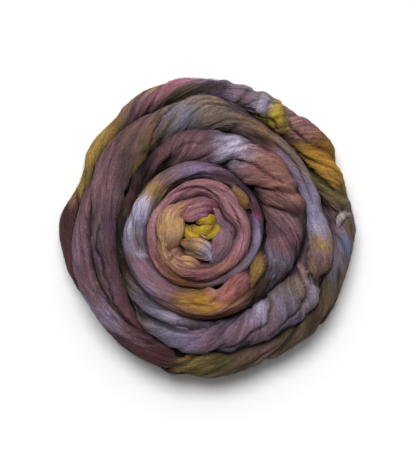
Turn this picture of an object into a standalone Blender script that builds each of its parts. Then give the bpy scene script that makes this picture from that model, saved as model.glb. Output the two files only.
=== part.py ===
"""A coil of hand-dyed wool roving: one thick, loosely twisted strand of combed fibre, wound from its
centre out into a low round coil that lies flat on a table.

The strand is laid turn by turn against itself. Each turn is a soft rounded band, and the folds that the
loose twist puts in it lie across the band as raised ridges. All turns and folds are fused into one solid.

Metres, +Z up. The origin is on the table, at the point that the strand is wound round.
Angles run counter-clockwise from +X, and keep growing from one turn to the next.
"""

import math
from collections import namedtuple

import bmesh
import bpy

MM = 0.001

# How the strand is wound.
STATION_STEP = 30.0  # degrees between the stations of EDGE_RADII
FIRST_STATION = -660.0  # where EDGE_RADII starts: a turn ahead of the strand's inner end
STRAND_START = -150.0
STRAND_END = 2008.0
SWEEP_STEP = 4.5  # degrees between the sections of the swept strand

# The outer edge of the strand, in mm from the centre, at twelve stations a turn. One turn's outer edge is
# the next turn's inner edge. The first row is the edge of the clump that the strand is wound round.
EDGE_RADII = (
    (7.0, 7.0, 7.0, 7.0, 7.0, 7.0, 7.0, 7.0, 7.0, 8.0, 10.0, 12.0),
    (14.5, 11.5, 10.5, 15.0, 17.0, 21.0, 24.5, 26.5, 29.0, 26.5, 28.0, 19.0),
    (23.0, 27.5, 29.0, 35.0, 39.0, 42.5, 43.5, 42.5, 41.5, 41.5, 40.0, 40.0),
    (41.5, 42.5, 42.5, 42.5, 46.0, 48.5, 49.5, 46.5, 46.5, 50.0, 51.0, 52.0),
    (53.0, 58.0, 59.5, 63.0, 67.5, 70.0, 73.0, 75.5, 75.5, 79.0, 87.5, 87.5),
    (83.0, 82.5, 76.5, 73.0, 75.0, 80.0, 92.0, 102.0, 107.0, 109.5, 103.5, 101.0),
    (103.0, 111.5, 107.0, 105.0, 104.0, 114.5, 121.5, 126.0, 125.0, 128.5, 129.0, 131.5),
    (126.5, 129.0, 126.0, 115.5, 122.5, 119.0, 110.0, 110.0, 110.0, 110.0, 110.0, 110.0),
)

Crest = namedtuple("Crest", "angle height")  # degrees, mm

# The height of the strand's top along its length.
CRESTS = (
    Crest(-150, 54.0),
    Crest(-20, 55.0),
    Crest(60, 57.0),
    Crest(150, 57.0),
    Crest(360, 60.0),
    Crest(630, 53.0),
    Crest(760, 55.0),
    Crest(960, 56.0),
    Crest(1110, 51.0),
    Crest(1180, 49.0),
    Crest(1270, 38.0),
    Crest(1350, 46.0),
    Crest(1440, 44.0),
    Crest(1560, 44.0),
    Crest(1660, 42.0),
    Crest(1740, 36.0),
    Crest(1860, 37.0),
    Crest(1950, 33.0),
    Crest(2010, 26.0),
)

# The strand's section.
SIDE_LAP = 2.5  # mm that each turn reaches in under the turn inside it
SECTION_POINTS = 20
SECTION_FULLNESS = 2.15  # 2 is an ellipse, and more is squarer
CROWN_SHARE = 1.3  # the rounded crown's height over the section's half width
LEAST_SHOULDER = 0.42  # the widest level is at least this share of the crest height
UNDERCUT = 4.0  # mm that the turns are swept below the table, where they are then cut flat
END_TAPER = 26.0  # degrees over which each end of the strand draws in
END_SHARE = 0.3  # the share of its width and height that the strand keeps at its very end
END_TUCK = 5.0  # mm that each end turns in towards the centre

Fold = namedtuple("Fold", "from_angle from_radius to_angle to_radius bow half_width proud")

# The folds of the loose twist, each a ridge that runs across its turn: degrees and mm. The bow is how far
# its middle swings outwards, and proud is how far it stands above the turn that it lies on.
FOLDS = (
    # The outermost turn.
    Fold(356, 124, 15, 108, 3, 8.0, 3.0),
    Fold(13, 127, 45, 105, 0, 6.5, 3.5),
    Fold(24, 130, 37, 118, 2, 8.0, 3.5),
    Fold(38, 126, 52, 114, 3, 11.0, 2.5),
    Fold(61, 125, 49, 107, 2, 5.5, 3.0),
    Fold(66, 124, 67, 107, 1, 5.5, 4.0),
    Fold(74, 124, 88, 115, 0, 8.0, 3.0),
    Fold(92, 128, 116, 110, 3, 6.5, 4.0),
    Fold(108, 126, 132, 112, 3, 7.5, 3.0),
    Fold(118, 121, 158, 111, 4, 7.0, 3.0),
    Fold(165, 109, 196, 116, 2, 9.0, 3.5),
    # Where the second turn comes out from under it and becomes the outermost.
    Fold(165, 96, 243, 108, 8, 7.5, 5.0),
    Fold(222, 115, 258, 110, 2, 9.0, 3.0),
    Fold(257, 120, 276, 107, 1, 6.0, 3.5),
    Fold(264, 120, 300, 114, 3, 8.0, 3.0),
    Fold(300, 119, 330, 112, 2, 9.0, 3.0),
    Fold(325, 122, 352, 112, 4, 8.0, 3.0),
    # The second turn.
    Fold(15, 99, 62, 92, 0, 6.0, 2.0),
    Fold(56, 99, 70, 88, 2, 5.5, 3.0),
    Fold(70, 106, 108, 103, 2, 6.5, 3.0),
    Fold(74, 100, 96, 84, 1, 8.0, 3.0),
    Fold(100, 103, 122, 82, 2, 7.0, 3.5),
    Fold(112, 103, 142, 78, 4, 8.0, 4.0),
    Fold(130, 103, 190, 74, 6, 11.0, 5.0),
    Fold(178, 88, 230, 96, 4, 11.0, 4.0),
    # The turn inside it, whose end folds over in a round lobe.
    Fold(336, 95, 366, 98, 4, 9.5, 5.0),
    Fold(0, 96, 58, 84, 2, 6.0, 4.0),
    Fold(206, 74, 267, 84, 0, 6.5, 3.0),
    Fold(224, 88, 266, 96, 3, 6.0, 3.0),
    Fold(260, 101, 286, 80, 2, 8.0, 4.0),
    Fold(276, 103, 300, 80, 3, 5.5, 4.0),
    Fold(290, 106, 309, 78, 3, 7.0, 5.0),
    Fold(311, 107, 334, 84, 3, 9.0, 5.0),
    # The rope-like turn.
    Fold(353, 72, 37, 56, 2, 9.0, 3.0),
    Fold(6, 84, 38, 56, 3, 6.5, 5.0),
    Fold(20, 85, 48, 55, 3, 5.0, 5.0),
    Fold(38, 85, 62, 55, 3, 8.0, 5.0),
    Fold(60, 82, 80, 58, 2, 6.5, 4.0),
    Fold(74, 82, 100, 60, 2, 7.5, 3.0),
    Fold(92, 82, 121, 61, 3, 7.5, 4.0),
    Fold(112, 77, 160, 67, 1, 5.5, 3.0),
    Fold(322, 78, 358, 56, 2, 9.0, 3.5),
    Fold(296, 70, 326, 72, 2, 7.0, 2.0),
    # The smooth turn, with the lip and the tuft that stand up from it.
    Fold(120, 53, 208, 57, 5, 9.0, 2.0),
    Fold(204, 60, 262, 62, 3, 10.0, 2.0),
    Fold(245, 64, 292, 60, 3, 8.0, 2.5),
    Fold(284, 53, 328, 50, 1, 5.0, 3.0),
    Fold(308, 62, 343, 53, 1, 4.5, 2.5),
    Fold(12, 49, 95, 52, 1, 5.5, 1.5),
    # The rolled turns at the centre, from the strand's first gathered folds outwards.
    Fold(222, 25, 268, 12, 2, 5.5, 3.0),
    Fold(250, 28, 292, 17, 1, 6.0, 2.5),
    Fold(305, 18, 365, 18, 5, 7.5, 2.0),
    Fold(330, 12, 392, 14, 2, 4.5, 1.5),
    Fold(60, 12, 168, 8, 2, 5.0, 2.0),
    Fold(20, 35, 100, 38, 0, 5.0, 1.5),
    Fold(60, 22, 140, 22, 3, 7.0, 2.0),
    Fold(120, 27, 207, 29, 0, 9.0, 2.5),
    Fold(222, 36, 262, 33, 1, 7.0, 3.0),
    Fold(258, 37, 336, 35, 1, 6.0, 1.5),
)
FOLD_SECTIONS = 13
FOLD_POINTS = 12
FOLD_DEPTH = 7.0  # mm from a fold's crest down to its middle, which lies inside the turn
FOLD_START = 0.08  # where on its half wave a fold's swell starts and, from the other side, ends
FOLD_END = 0.45  # how bluntly a fold ends: 1 is a long taper, and less is rounder

# What the strand is wound round: a small crumpled knot of its own first fibres. Sizes in mm.
KNOT_MIDDLE = (1.5, 2.5)
KNOT_WIDTH = 25.0
KNOT_HEIGHT = 50.0
KNOT_WIDEST = 0.6  # the level of the knot's widest part, as a share of its height
BALL_RINGS = 12

Layer = namedtuple("Layer", "lower_share upper_share bottom top")

# The wound layers that lie hidden below, under the turns that show. Their own weight presses them together
# and flat on the table. They follow the coil's plan: the shares are of the outermost turn's inner edge,
# taken BED_REACH further out, and the levels are in mm.
LOWER_LAYERS = (
    Layer(1.0, 1.0, -4.0, 24.0),
    Layer(0.9, 0.57, 20.0, 42.0),
)
BED_REACH = 5.0  # mm
BED_SIDES = 90

# How the swept shapes become one solid.
FUSE_VOXEL = 1.8  # mm
SOFTEN_PASSES = 2
TRIANGLES = 12300  # before the underside is cut flat, which takes about 900 of them away
FLOOR_BOX = 300.0  # mm across, the space above the table
WOOL_COLOUR = (0.165, 0.105, 0.105, 1.0)
WOOL_ROUGHNESS = 0.85


def clear_scene():
    for obj in list(bpy.data.objects):
        bpy.data.objects.remove(obj, do_unlink=True)


def edge_radius(angle):
    """The strand's outer edge in mm at any angle, on a smooth curve through the stations."""
    radii = [radius for row in EDGE_RADII for radius in row]
    place = (angle - FIRST_STATION) / STATION_STEP
    i = max(1, min(int(place), len(radii) - 3))
    u = place - i
    a, b, c, d = radii[i - 1 : i + 3]
    return b + 0.5 * u * (c - a + u * (2 * a - 5 * b + 4 * c - d + u * (3 * (b - c) + d - a)))


def crest_height(angle):
    """The height of the strand's top in mm, eased from one row of CRESTS to the next."""
    for low, high in zip(CRESTS, CRESTS[1:]):
        if angle <= high.angle:
            u = max(0.0, (angle - low.angle) / (high.angle - low.angle))
            return low.height + (high.height - low.height) * u * u * (3 - 2 * u)
    return CRESTS[-1].height


def section(angle):
    """(middle radius, half width, widest level, height above it, depth below it) of the strand, in mm."""
    inner, outer = edge_radius(angle - 360) - SIDE_LAP, edge_radius(angle)
    half = max(4.0, (outer - inner) / 2)
    middle = (inner + outer) / 2
    crest = crest_height(angle)
    level = max(LEAST_SHOULDER * crest, crest - CROWN_SHARE * half)
    above, below = crest - level, level + UNDERCUT
    to_end = min(angle - STRAND_START, STRAND_END - angle) / END_TAPER
    if to_end < 1:
        share = END_SHARE + (1 - END_SHARE) * math.sqrt(max(0.0, to_end))
        middle -= END_TUCK * (1 - share)
        half, above, below = half * share, above * share, below * share
    return middle, half, level, above, below


def last_turn_edge(angle, further=0.0):
    """The edge in mm of the last turn to pass a direction, or of the strand that many degrees further."""
    return edge_radius(STRAND_END - (STRAND_END - angle) % 360 + further)


def surface_height(angle, radius):
    """The top of the wound strand in mm under a point, whichever turn lies there."""
    best = LOWER_LAYERS[0].top
    turn = angle % 360 + STRAND_START - STRAND_START % 360
    while turn <= STRAND_END:
        if turn >= STRAND_START:
            middle, half, level, above, below = section(turn)
            across = abs(radius - middle) / half
            if across < 1:
                best = max(best, level + above * (1 - across**SECTION_FULLNESS) ** (1 / SECTION_FULLNESS))
        turn += 360
    return best


def rounded(wave):
    """One coordinate of a superellipse, from the cosine or sine of its angle."""
    return math.copysign(abs(wave) ** (2 / SECTION_FULLNESS), wave)


def sweep(bm, rings):
    """Extrudes a closed section from ring to ring, each a list of points, and closes both ends."""
    loop = [bm.verts.new(point) for point in rings[0]]
    edges = [bm.edges.new((a, b)) for a, b in zip(loop, loop[1:] + loop[:1])]
    bm.faces.new(loop)
    for ring in rings[1:]:
        made = bmesh.ops.extrude_edge_only(bm, edges=edges)["geom"]
        edges = [e for e in made if isinstance(e, bmesh.types.BMEdge) and e.is_boundary]
        following = {v: w for v in loop for w in (e.other_vert(v) for e in v.link_edges) if w in made}
        loop = [following[v] for v in loop]
        for vert, point in zip(loop, ring):
            vert.co = point
    bm.faces.new(loop)


def polar(angle, radius, height):
    turn = math.radians(angle)
    return (radius * MM * math.cos(turn), radius * MM * math.sin(turn), height * MM)


def add_strand(bm):
    """The whole strand, swept round and round from its inner end to its outer one."""
    steps = round((STRAND_END - STRAND_START) / SWEEP_STEP)
    rings = []
    for i in range(steps + 1):
        angle = STRAND_START + (STRAND_END - STRAND_START) * i / steps
        middle, half, level, above, below = section(angle)
        ring = []
        for k in range(SECTION_POINTS):
            around = 2 * math.pi * k / SECTION_POINTS
            up = rounded(math.sin(around))
            height = level + up * (above if up > 0 else below)
            ring.append(polar(angle, middle + half * rounded(math.cos(around)), height))
        rings.append(ring)
    sweep(bm, rings)


def add_fold(bm, fold):
    """A ridge that lies on the strand from one point to another and sinks into it at both ends."""
    rings = []
    for i in range(FOLD_SECTIONS):
        along = i / (FOLD_SECTIONS - 1)
        angle = fold.from_angle + (fold.to_angle - fold.from_angle) * along
        radius = fold.from_radius + (fold.to_radius - fold.from_radius) * along
        radius += fold.bow * math.sin(math.pi * along)
        swell = math.sin(math.pi * (FOLD_START + (1 - 2 * FOLD_START) * along)) ** FOLD_END
        crest = surface_height(angle, radius) + fold.proud * swell
        run = math.radians(fold.to_angle - fold.from_angle) * radius
        drift = fold.to_radius - fold.from_radius
        lean = math.atan2(drift, run)
        ring = []
        for k in range(FOLD_POINTS):
            around = 2 * math.pi * k / FOLD_POINTS
            side = fold.half_width * swell * math.cos(around)
            out, ahead = side * math.cos(lean), -side * math.sin(lean)
            point_angle = angle + math.degrees(ahead / radius)
            point_radius = min(radius + out, last_turn_edge(point_angle))
            height = crest - FOLD_DEPTH * (1 - math.sin(around))
            ring.append(polar(point_angle, point_radius, height))
        rings.append(ring)
    sweep(bm, rings)


def add_knot(bm):
    """The soft knot at the centre, egg-shaped, down to the hidden layers."""
    made = bmesh.ops.create_uvsphere(bm, u_segments=2 * BALL_RINGS, v_segments=BALL_RINGS, radius=1.0)
    level = KNOT_HEIGHT * KNOT_WIDEST
    for vert in made["verts"]:
        x, y, z = vert.co
        rise = KNOT_HEIGHT - level if z > 0 else level
        vert.co = (
            (KNOT_MIDDLE[0] + x * KNOT_WIDTH / 2) * MM,
            (KNOT_MIDDLE[1] + y * KNOT_WIDTH / 2) * MM,
            (level + z * rise) * MM,
        )


def add_layer(bm, layer):
    """A flat layer in the shape of the coil's plan, a little smaller than the coil."""
    made = bmesh.ops.create_cone(
        bm,
        cap_ends=True,
        segments=BED_SIDES,
        radius1=layer.lower_share,
        radius2=layer.upper_share,
        depth=layer.top - layer.bottom,
    )
    for vert in made["verts"]:
        angle = math.degrees(math.atan2(vert.co.y, vert.co.x))
        reach = last_turn_edge(angle, -360) + BED_REACH
        level = vert.co.z + (layer.top + layer.bottom) / 2
        vert.co = (vert.co.x * reach * MM, vert.co.y * reach * MM, level * MM)


def wool_material():
    material = bpy.data.materials.new("dyed_wool")
    material.use_nodes = True
    shader = material.node_tree.nodes["Principled BSDF"]
    shader.inputs["Base Color"].default_value = WOOL_COLOUR
    shader.inputs["Roughness"].default_value = WOOL_ROUGHNESS
    shader.inputs["Metallic"].default_value = 0.0
    return material


def new_object(name, bm):
    mesh = bpy.data.meshes.new(name)
    bmesh.ops.recalc_face_normals(bm, faces=bm.faces)
    bm.to_mesh(mesh)
    bm.free()
    obj = bpy.data.objects.new(name, mesh)
    bpy.context.scene.collection.objects.link(obj)
    return obj


def make_space_above_table():
    """A box that stands on the table. It cuts the underside of the coil flat."""
    bm = bmesh.new()
    bmesh.ops.create_cube(bm, size=FLOOR_BOX * MM)
    bmesh.ops.translate(bm, verts=bm.verts, vec=(0, 0, FLOOR_BOX / 2 * MM))
    box = new_object("space_above_table", bm)
    box.hide_render = True
    box.display_type = "WIRE"
    return box


def fused_faces(obj):
    """How many triangles the object has once its turns are fused."""
    evaluated = obj.evaluated_get(bpy.context.evaluated_depsgraph_get())
    mesh = evaluated.to_mesh()
    mesh.calc_loop_triangles()
    count = len(mesh.loop_triangles)
    evaluated.to_mesh_clear()
    return count


def make_coil():
    bm = bmesh.new()
    for layer in LOWER_LAYERS:
        add_layer(bm, layer)
    add_knot(bm)
    add_strand(bm)
    for fold in FOLDS:
        add_fold(bm, fold)
    coil = new_object("roving_coil", bm)
    coil.data.materials.append(wool_material())

    fuse = coil.modifiers.new("fuse", "REMESH")
    fuse.mode = "VOXEL"
    fuse.voxel_size = FUSE_VOXEL * MM
    fuse.use_smooth_shade = True

    soften = coil.modifiers.new("soften", "SMOOTH")
    soften.factor = 0.5
    soften.iterations = SOFTEN_PASSES

    thin = coil.modifiers.new("thin_out", "DECIMATE")
    thin.ratio = TRIANGLES / fused_faces(coil)
    thin.use_collapse_triangulate = True

    flatten = coil.modifiers.new("flat_underside", "BOOLEAN")
    flatten.operation = "INTERSECT"
    flatten.solver = "EXACT"
    flatten.object = make_space_above_table()
    return coil


clear_scene()
make_coil()
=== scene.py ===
import math
from collections import namedtuple

import bmesh
import bpy
import numpy as np
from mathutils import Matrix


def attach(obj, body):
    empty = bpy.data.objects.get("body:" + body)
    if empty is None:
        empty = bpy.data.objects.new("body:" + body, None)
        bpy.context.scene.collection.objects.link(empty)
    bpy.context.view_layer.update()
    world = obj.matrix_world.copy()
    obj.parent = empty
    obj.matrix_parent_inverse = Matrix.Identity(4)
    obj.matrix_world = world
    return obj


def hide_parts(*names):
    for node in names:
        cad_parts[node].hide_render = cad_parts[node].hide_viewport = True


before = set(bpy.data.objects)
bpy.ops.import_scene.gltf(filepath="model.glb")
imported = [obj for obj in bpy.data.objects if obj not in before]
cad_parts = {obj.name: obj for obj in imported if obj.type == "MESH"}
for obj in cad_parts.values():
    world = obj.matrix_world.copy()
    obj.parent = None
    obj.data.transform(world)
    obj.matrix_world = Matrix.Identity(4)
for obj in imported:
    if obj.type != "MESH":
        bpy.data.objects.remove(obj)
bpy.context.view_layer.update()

MM = 0.001

# ---- Table, lights and camera ----
# A plain white table seen from straight above, under a soft light and a much wider one, both from beyond the
# coil's top edge, and an even fill, so that the coil throws a soft shadow along its near edge.
VIEW_MIDDLE = (4.25, 0.85)  # mm, the point that the camera looks down on
VIEW_HEIGHT = 389.3  # mm that the frame spans from bottom to top, at the coil's mid height
MID_HEIGHT = 25.0  # mm
CAMERA_HEIGHT = 3000.0  # mm, so far off that the turns' sides hardly show
CAMERA_REACH = 20.0  # m
SENSOR = 36.0  # mm
TABLE_SIZE = 5000.0  # mm
TABLE_GLOW = 0.02  # a faint glow of the paper, which pales the shadow
LIGHTS = {  # degrees round from +X, degrees above the table, degrees wide and strength
    "key": (101, 66, 28, 2.6),
    "wide": (96, 44, 100, 1.8),
}
FILL_STRENGTH = 0.1


def linear(code):
    """The linear red, green, blue and alpha of an sRGB hex colour."""
    shares = [int(code[i : i + 2], 16) / 255 for i in (1, 3, 5)]
    return [c / 12.92 if c <= 0.04045 else ((c + 0.055) / 1.055) ** 2.4 for c in shares] + [1.0]


def new_material(name, roughness):
    """A material, its nodes and its shader."""
    material = bpy.data.materials.new(name)
    material.use_nodes = True
    shader = material.node_tree.nodes["Principled BSDF"]
    shader.inputs["Roughness"].default_value = roughness
    return material, material.node_tree, shader


def new_object(name, bm, material):
    """An object in the scene, made of a bmesh that this uses up."""
    mesh = bpy.data.meshes.new(name)
    bm.to_mesh(mesh)
    bm.free()
    mesh.materials.append(material)
    obj = bpy.data.objects.new(name, mesh)
    bpy.context.scene.collection.objects.link(obj)
    return obj


scene = bpy.context.scene
scene.view_settings.view_transform = "Standard"
lens = bpy.data.cameras.new("camera")
lens.sensor_width = SENSOR
lens.lens = SENSOR * (CAMERA_HEIGHT - MID_HEIGHT) / VIEW_HEIGHT
lens.clip_end = CAMERA_REACH
camera = bpy.data.objects.new("camera", lens)
camera.location = (VIEW_MIDDLE[0] * MM, VIEW_MIDDLE[1] * MM, CAMERA_HEIGHT * MM)
scene.collection.objects.link(camera)
scene.camera = camera

for light_name, (side, above, softness, strength) in LIGHTS.items():
    light = bpy.data.lights.new(light_name, "SUN")
    light.angle = math.radians(softness)
    light.energy = strength
    light_object = bpy.data.objects.new(light_name, light)
    light_object.rotation_euler = (0, math.radians(90 - above), math.radians(side))
    scene.collection.objects.link(light_object)

world = bpy.data.worlds.new("fill")
world.use_nodes = True
world.node_tree.nodes["Background"].inputs["Strength"].default_value = FILL_STRENGTH
world.node_tree.nodes["Background"].inputs["Color"].default_value = (1, 1, 1, 1)
scene.world = world

paper, _, paper_shader = new_material("matt white paper", 0.9)
paper_shader.inputs["Base Color"].default_value = linear("#ebebeb")
paper_shader.inputs["Specular IOR Level"].default_value = 0.1
paper_shader.inputs["Emission Color"].default_value = (1, 1, 1, 1)
paper_shader.inputs["Emission Strength"].default_value = TABLE_GLOW
bm = bmesh.new()
bmesh.ops.create_grid(bm, x_segments=1, y_segments=1, size=TABLE_SIZE * MM / 2)
table = new_object("table", bm, paper)


# ---- The knot and the first gathered folds ----
# The strand's inner end, crumpled into a small knot, and its first half turn, gathered in folds round it.
# The strand is combed wool top, fibres 60 to 100 mm long that lie side by side in a loose twist, wound round
# itself and pressed down, so each turn is a soft band that leans on the next and is held by its own grip.
STRAND_START = -150.0  # degrees of winding
STRAND_END = 2008.0
STATION_STEP = 30.0  # degrees between the charted radii of the strand's outer edge
WINDING_STEP = 2.0  # degrees between the places where the strand's length is summed up
SIDE_GAP = 0.6  # mm between a turn and the one inside it
LEAST_HALF_WIDTH = 4.0  # mm
SECTION_FULLNESS = 2.05  # 2 is an ellipse, and more is fuller at its corners
CROWN_SHARE = 1.3  # how far at most the crest stands over the widest level, in half widths
LEAST_SHOULDER = 0.42  # the least height of the widest level, as a share of the crest's
UNDERCUT = 4.0  # mm of the section that are pressed flat on the table
END_TAPER = 26.0  # degrees that an end tapers over
END_SHARE = 0.16  # the share of its thickness that an end tapers to
END_TUCK = 5.0  # mm that an end is tucked in
LEAN = 0.14  # how far the crest leans outwards, as a share of the half width
SECTION_SAMPLES = 80  # points that the way round the section is measured on
AT_EDGE = 0.01  # mm, a point this near the outer edge is at it

RING_STEP = 1.6  # mm between the rings of the mesh
ACROSS_STEP = 0.62  # mm between the points of a ring where it shows
LOCK_STEP = 1.0  # mm between the points of a short lock
LOCK_SAMPLES = 400  # points that its length is measured on
LOCK_TAPER = 1.3  # half widths that its ends are rounded over
LOCK_APART = 700.0  # mm of the noise from one lock's own stretch to the next one's
SHOWN = (-35, 215)  # degrees round a ring that may show, from low on its outer side over its crest
HIDDEN_POINTS = 6  # points on each side of the underside
JOIN_LAP = 3.0  # degrees that a piece runs on at each end, inside the piece next to it
JOIN_DEPTH = 1.2  # mm that these ends are sunk
SEAM_GAP = 1e-7  # m, points along a tube's seam that are this near are one
UPWARD = (0.2, 2)  # the height round a ring where laid-over folds begin to show, and how fast they come in
FLANK_HOLD = 1.6  # how fast the folds reach their whole height up the sides

NEAR = 40.0  # mm past a laid length, within which a fold or a stain may still reach it
FLANK_REACH = 9.0  # mm that a fold which meets the edge runs on down the side
GENTLE = 2.3  # the gentle side of a fold reaches this many half widths
ROUND_FROM = 0.15  # where the crisp side starts to turn down, in half widths
EVEN = 1.5  # both sides of an even fold reach this many
FOLD_SHARE = 0.95  # of its charted height that a fold gets
CROSSED_SHARE = 0.4  # how much the lower one of two folds that cross adds to the higher one
CREASE_SHARE = 0.42  # the depth of the crease beside a fold's crisp side, over the fold's height
CREASE_BESIDE = (1.05, 0.2)  # where it lies and how wide it is, in half widths
CREASE_WOBBLE = 0.5  # how much of the folds' wobble a crease of its own has
DARK_DEPTH = 5.0  # mm, a crease this deep is in full shadow
DARK_HEIGHT = 4.0  # mm, and so is the crease beside a fold this high
SIDE_HOLD = 0.3  # the share of a fold's height that is left at the strand's outer side
SPLIT_WIDTH = 0.3  # how near 0 the noise is where the bundles split
SPLIT_OPEN = 0.55  # how much of each split's length is open

DYE_DEPTH = 0.13  # how much fuller the dyes' colours are than charted
DYE_MIDDLE = 0.118  # a dye of this mean strength stays as charted; paler ones come out paler
DYE_SPREAD = 0.16
STAIN_STRENGTH = 0.9  # how much of its own dye shows in its middle
STAIN_FADE = (0.8, 1.3)  # how early and how fast it fades outwards
LEAST_RADIUS = 8.0  # mm, for how far the ground strays round the strand's inner end
SPLIT_SHADE = 0.45  # painted shade: how much darker the dye is made in the splits between bundles of fibres
CREASE_SHADE = 0.76  # painted shade: how much darker the dye is made down in a crease, a tuck beside a fold or a hollow
SIDE_SHADE = 0.92  # painted shade: how much darker the dye is made down the sides of each turn, towards the gaps between turns
SIDE_FROM = 0.95  # the height round a ring, from 0 to 1 at its crest, that this painted shade starts from
RIM_LIGHT = 1.1  # painted light: how much paler the outermost turn's loose outer fibres are, which light shines through
RIM_PLACE = (0.15, 0.3)  # the height round a ring where this painted light is palest, and how far it reaches

# Layers of unevenness, each with its seed, mm along the fibres, mm across them and strength.
FIBRE_BUNDLES = ((11, 50, 6, 0.35), (12, 26, 2.8, 0.22), (13, 10, 1.3, 0.16))  # mm high
SPLITS = ((51, 70, 5.5, 1.0), (53, 30, 2.7, 0.6))  # mm deep
FOLD_WOBBLE = ((3, 22, 9, 1.1), (4, 12, 4, 0.5))  # mm aside
LOCK_LUMPS = ((5, 9, 4, 0.5),)  # mm high
TINT = ((31, 30, 2.4, 0.07), (32, 14, 1.2, 0.1), (33, 7, 0.9, 0.12))  # shares of the dye
BLEED_ALONG = ((21, 45, 3, 4), (22, 14, 1.3, 3))  # mm that a stain's edge strays along the fibres
BLEED_ACROSS = ((23, 30, 5, 1.2), (24, 18, 2, 0.7))  # mm across them
LOCK_BLEED = ((21, 12, 2, 0.05),)  # shares of a lock's length

# Folds and creases run from one place on the strand to another, each in degrees of winding and mm from the
# middle, and bow aside. Their widths, depths and how proud they stand are in mm, and a fold is crisp on the
# side that lies to the right (1) or to the left (-1) of its way, or on neither (0). Stains are soft ovals.
Fold = namedtuple("Fold", "from_angle from_radius to_angle to_radius bow half_width proud crisp")
Crease = namedtuple("Crease", "from_angle from_radius to_angle to_radius half_width depth bow", defaults=(0,))
Stain = namedtuple("Stain", "angle radius half_length half_width dye")

edge_radii = {}
edge_trims = {STRAND_START: 0}  # mm that the outer edge stands off the smooth curve through its radii
crest_heights = {}
fibre_slopes = {}  # mm that the fibres drift inwards for each mm along the strand
grounds = {}  # the dye that the strand has where no stain lies
strokes = []  # folds and creases
stains = []
sheets = []
laid = []  # the lengths and locks laid so far, for the loose fibres that grow from them

DYES = {
    # The first dye, near black, is no colour of the wool: it is painted shadow, laid as stains in the gaps
    # between turns and in hollows.
    "gap shadow": "#21181d",
    "umber": "#382c27",
    "dark olive": "#463f2c",
    "deep maroon": "#482b32",
    "maroon": "#54393d",
    "maroon rose": "#704854",
    "plum": "#584251",
    "brown": "#674d44",
    "olive brown": "#5a4c3e",
    "taupe": "#75675c",
    "mauve brown": "#654e51",
    "rust": "#80523a",
    "rose brown": "#87615a",
    "rose": "#91696f",
    "mauve rose": "#795c60",
    "salmon": "#9a6562",
    "crimson": "#7d3f54",
    "pink": "#a26b80",
    "mauve": "#79606b",
    "grey mauve": "#6d5d66",
    "slate": "#56535a",
    "blue grey": "#686879",
    "blue": "#6b728c",
    "violet": "#796784",
    "lavender": "#837b91",
    "pale lavender": "#a69db0",
    "tan": "#9f8067",
    "light tan": "#a8865f",
    "tan brown": "#7a624d",
    "olive": "#6c5f3a",
    "olive gold": "#746440",
    "gold brown": "#6b4a30",
    "old gold": "#8a7146",
    "gold": "#94703c",
    "bright gold": "#a57d40",
    "amber": "#926438",
    "yellow": "#948040",
    "bright yellow": "#a48e40",
    "core yellow": "#9b7d34",
    "cream": "#b8aca6",
}


def chart(store, first, step, values):
    """Notes one value after another along the winding, from an angle on."""
    for i, value in enumerate(values):
        store[first + step * i] = value


def charted(store, angle):
    """The value at any angle, on straight lines from one charted value to the next."""
    stations = sorted(store)
    return np.interp(angle, stations, [store[station] for station in stations])


def curve(a, b, c, d, u):
    """The value at the share u of the way from b to c, on a smooth curve through a, b, c and d."""
    return b + 0.5 * u * (c - a + u * (2 * a - 5 * b + 4 * c - d + u * (3 * (b - c) + d - a)))


def ease(u):
    """A share from 0 to 1, with a soft start and a soft end."""
    return u * u * (3 - 2 * u)


def running(steps):
    """The running total of steps, from 0."""
    return np.concatenate(([0], np.cumsum(steps)))


def edge(angle):
    """The strand's outer edge in mm at any angle, on a smooth curve through the stations."""
    stations = np.array(sorted(edge_radii))
    radii = np.array([edge_radii[s] for s in stations])
    place = (angle - stations[0]) / STATION_STEP
    i = np.clip(place.astype(int), 1, len(radii) - 3)
    return charted(edge_trims, angle) + curve(radii[i - 1], radii[i], radii[i + 1], radii[i + 2], place - i)


def crest(angle):
    """The height of the strand's top in mm, eased from one charted height to the next."""
    stations = np.array(sorted(crest_heights))
    heights = np.array([crest_heights[s] for s in stations])
    i = np.clip(np.searchsorted(stations, angle) - 1, 0, len(stations) - 2)
    u = np.clip((angle - stations[i]) / (stations[i + 1] - stations[i]), 0, 1)
    return heights[i] + (heights[i + 1] - heights[i]) * ease(u)


def section(angle):
    """(middle radius, half width, widest level, height above it, depth below it) of the strand, in mm."""
    inner, outer = edge(angle - 360) + SIDE_GAP, edge(angle)
    half = np.maximum(LEAST_HALF_WIDTH, (outer - inner) / 2)
    middle = (inner + outer) / 2
    top = crest(angle)
    level = np.maximum(LEAST_SHOULDER * top, top - CROWN_SHARE * half)
    to_end = np.clip(np.minimum(angle - STRAND_START, STRAND_END - angle) / END_TAPER, 0, 1)
    share = END_SHARE + (1 - END_SHARE) * np.sqrt(to_end)
    middle = middle - END_TUCK * (1 - share)
    return middle, half * share, level, (top - level) * share, (level + UNDERCUT) * share


def profile(angle, around):
    """Radius and height in mm of points round the strand's section, from below, by the outer edge, over."""
    middle, half, level, above, below = section(angle)
    power = 2 / SECTION_FULLNESS
    out = np.sign(np.cos(around)) * np.abs(np.cos(around)) ** power
    up = np.sign(np.sin(around)) * np.abs(np.sin(around)) ** power
    radius = middle + half * (out + LEAN * np.maximum(up, 0))
    height = level + np.where(up > 0, above, below) * up
    return radius, np.maximum(height, 0)


def winding():
    """Angles along all of the strand that is charted so far."""
    return np.arange(STRAND_START - STATION_STEP, max(edge_radii) - STATION_STEP, WINDING_STEP)


def along(angle):
    """The distance in mm along the strand from its inner end to an angle."""
    middle = section(winding())[0]
    steps = np.hypot(np.diff(middle), (middle[1:] + middle[:-1]) / 2 * math.radians(WINDING_STEP))
    return np.interp(angle, winding(), running(steps))


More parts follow.
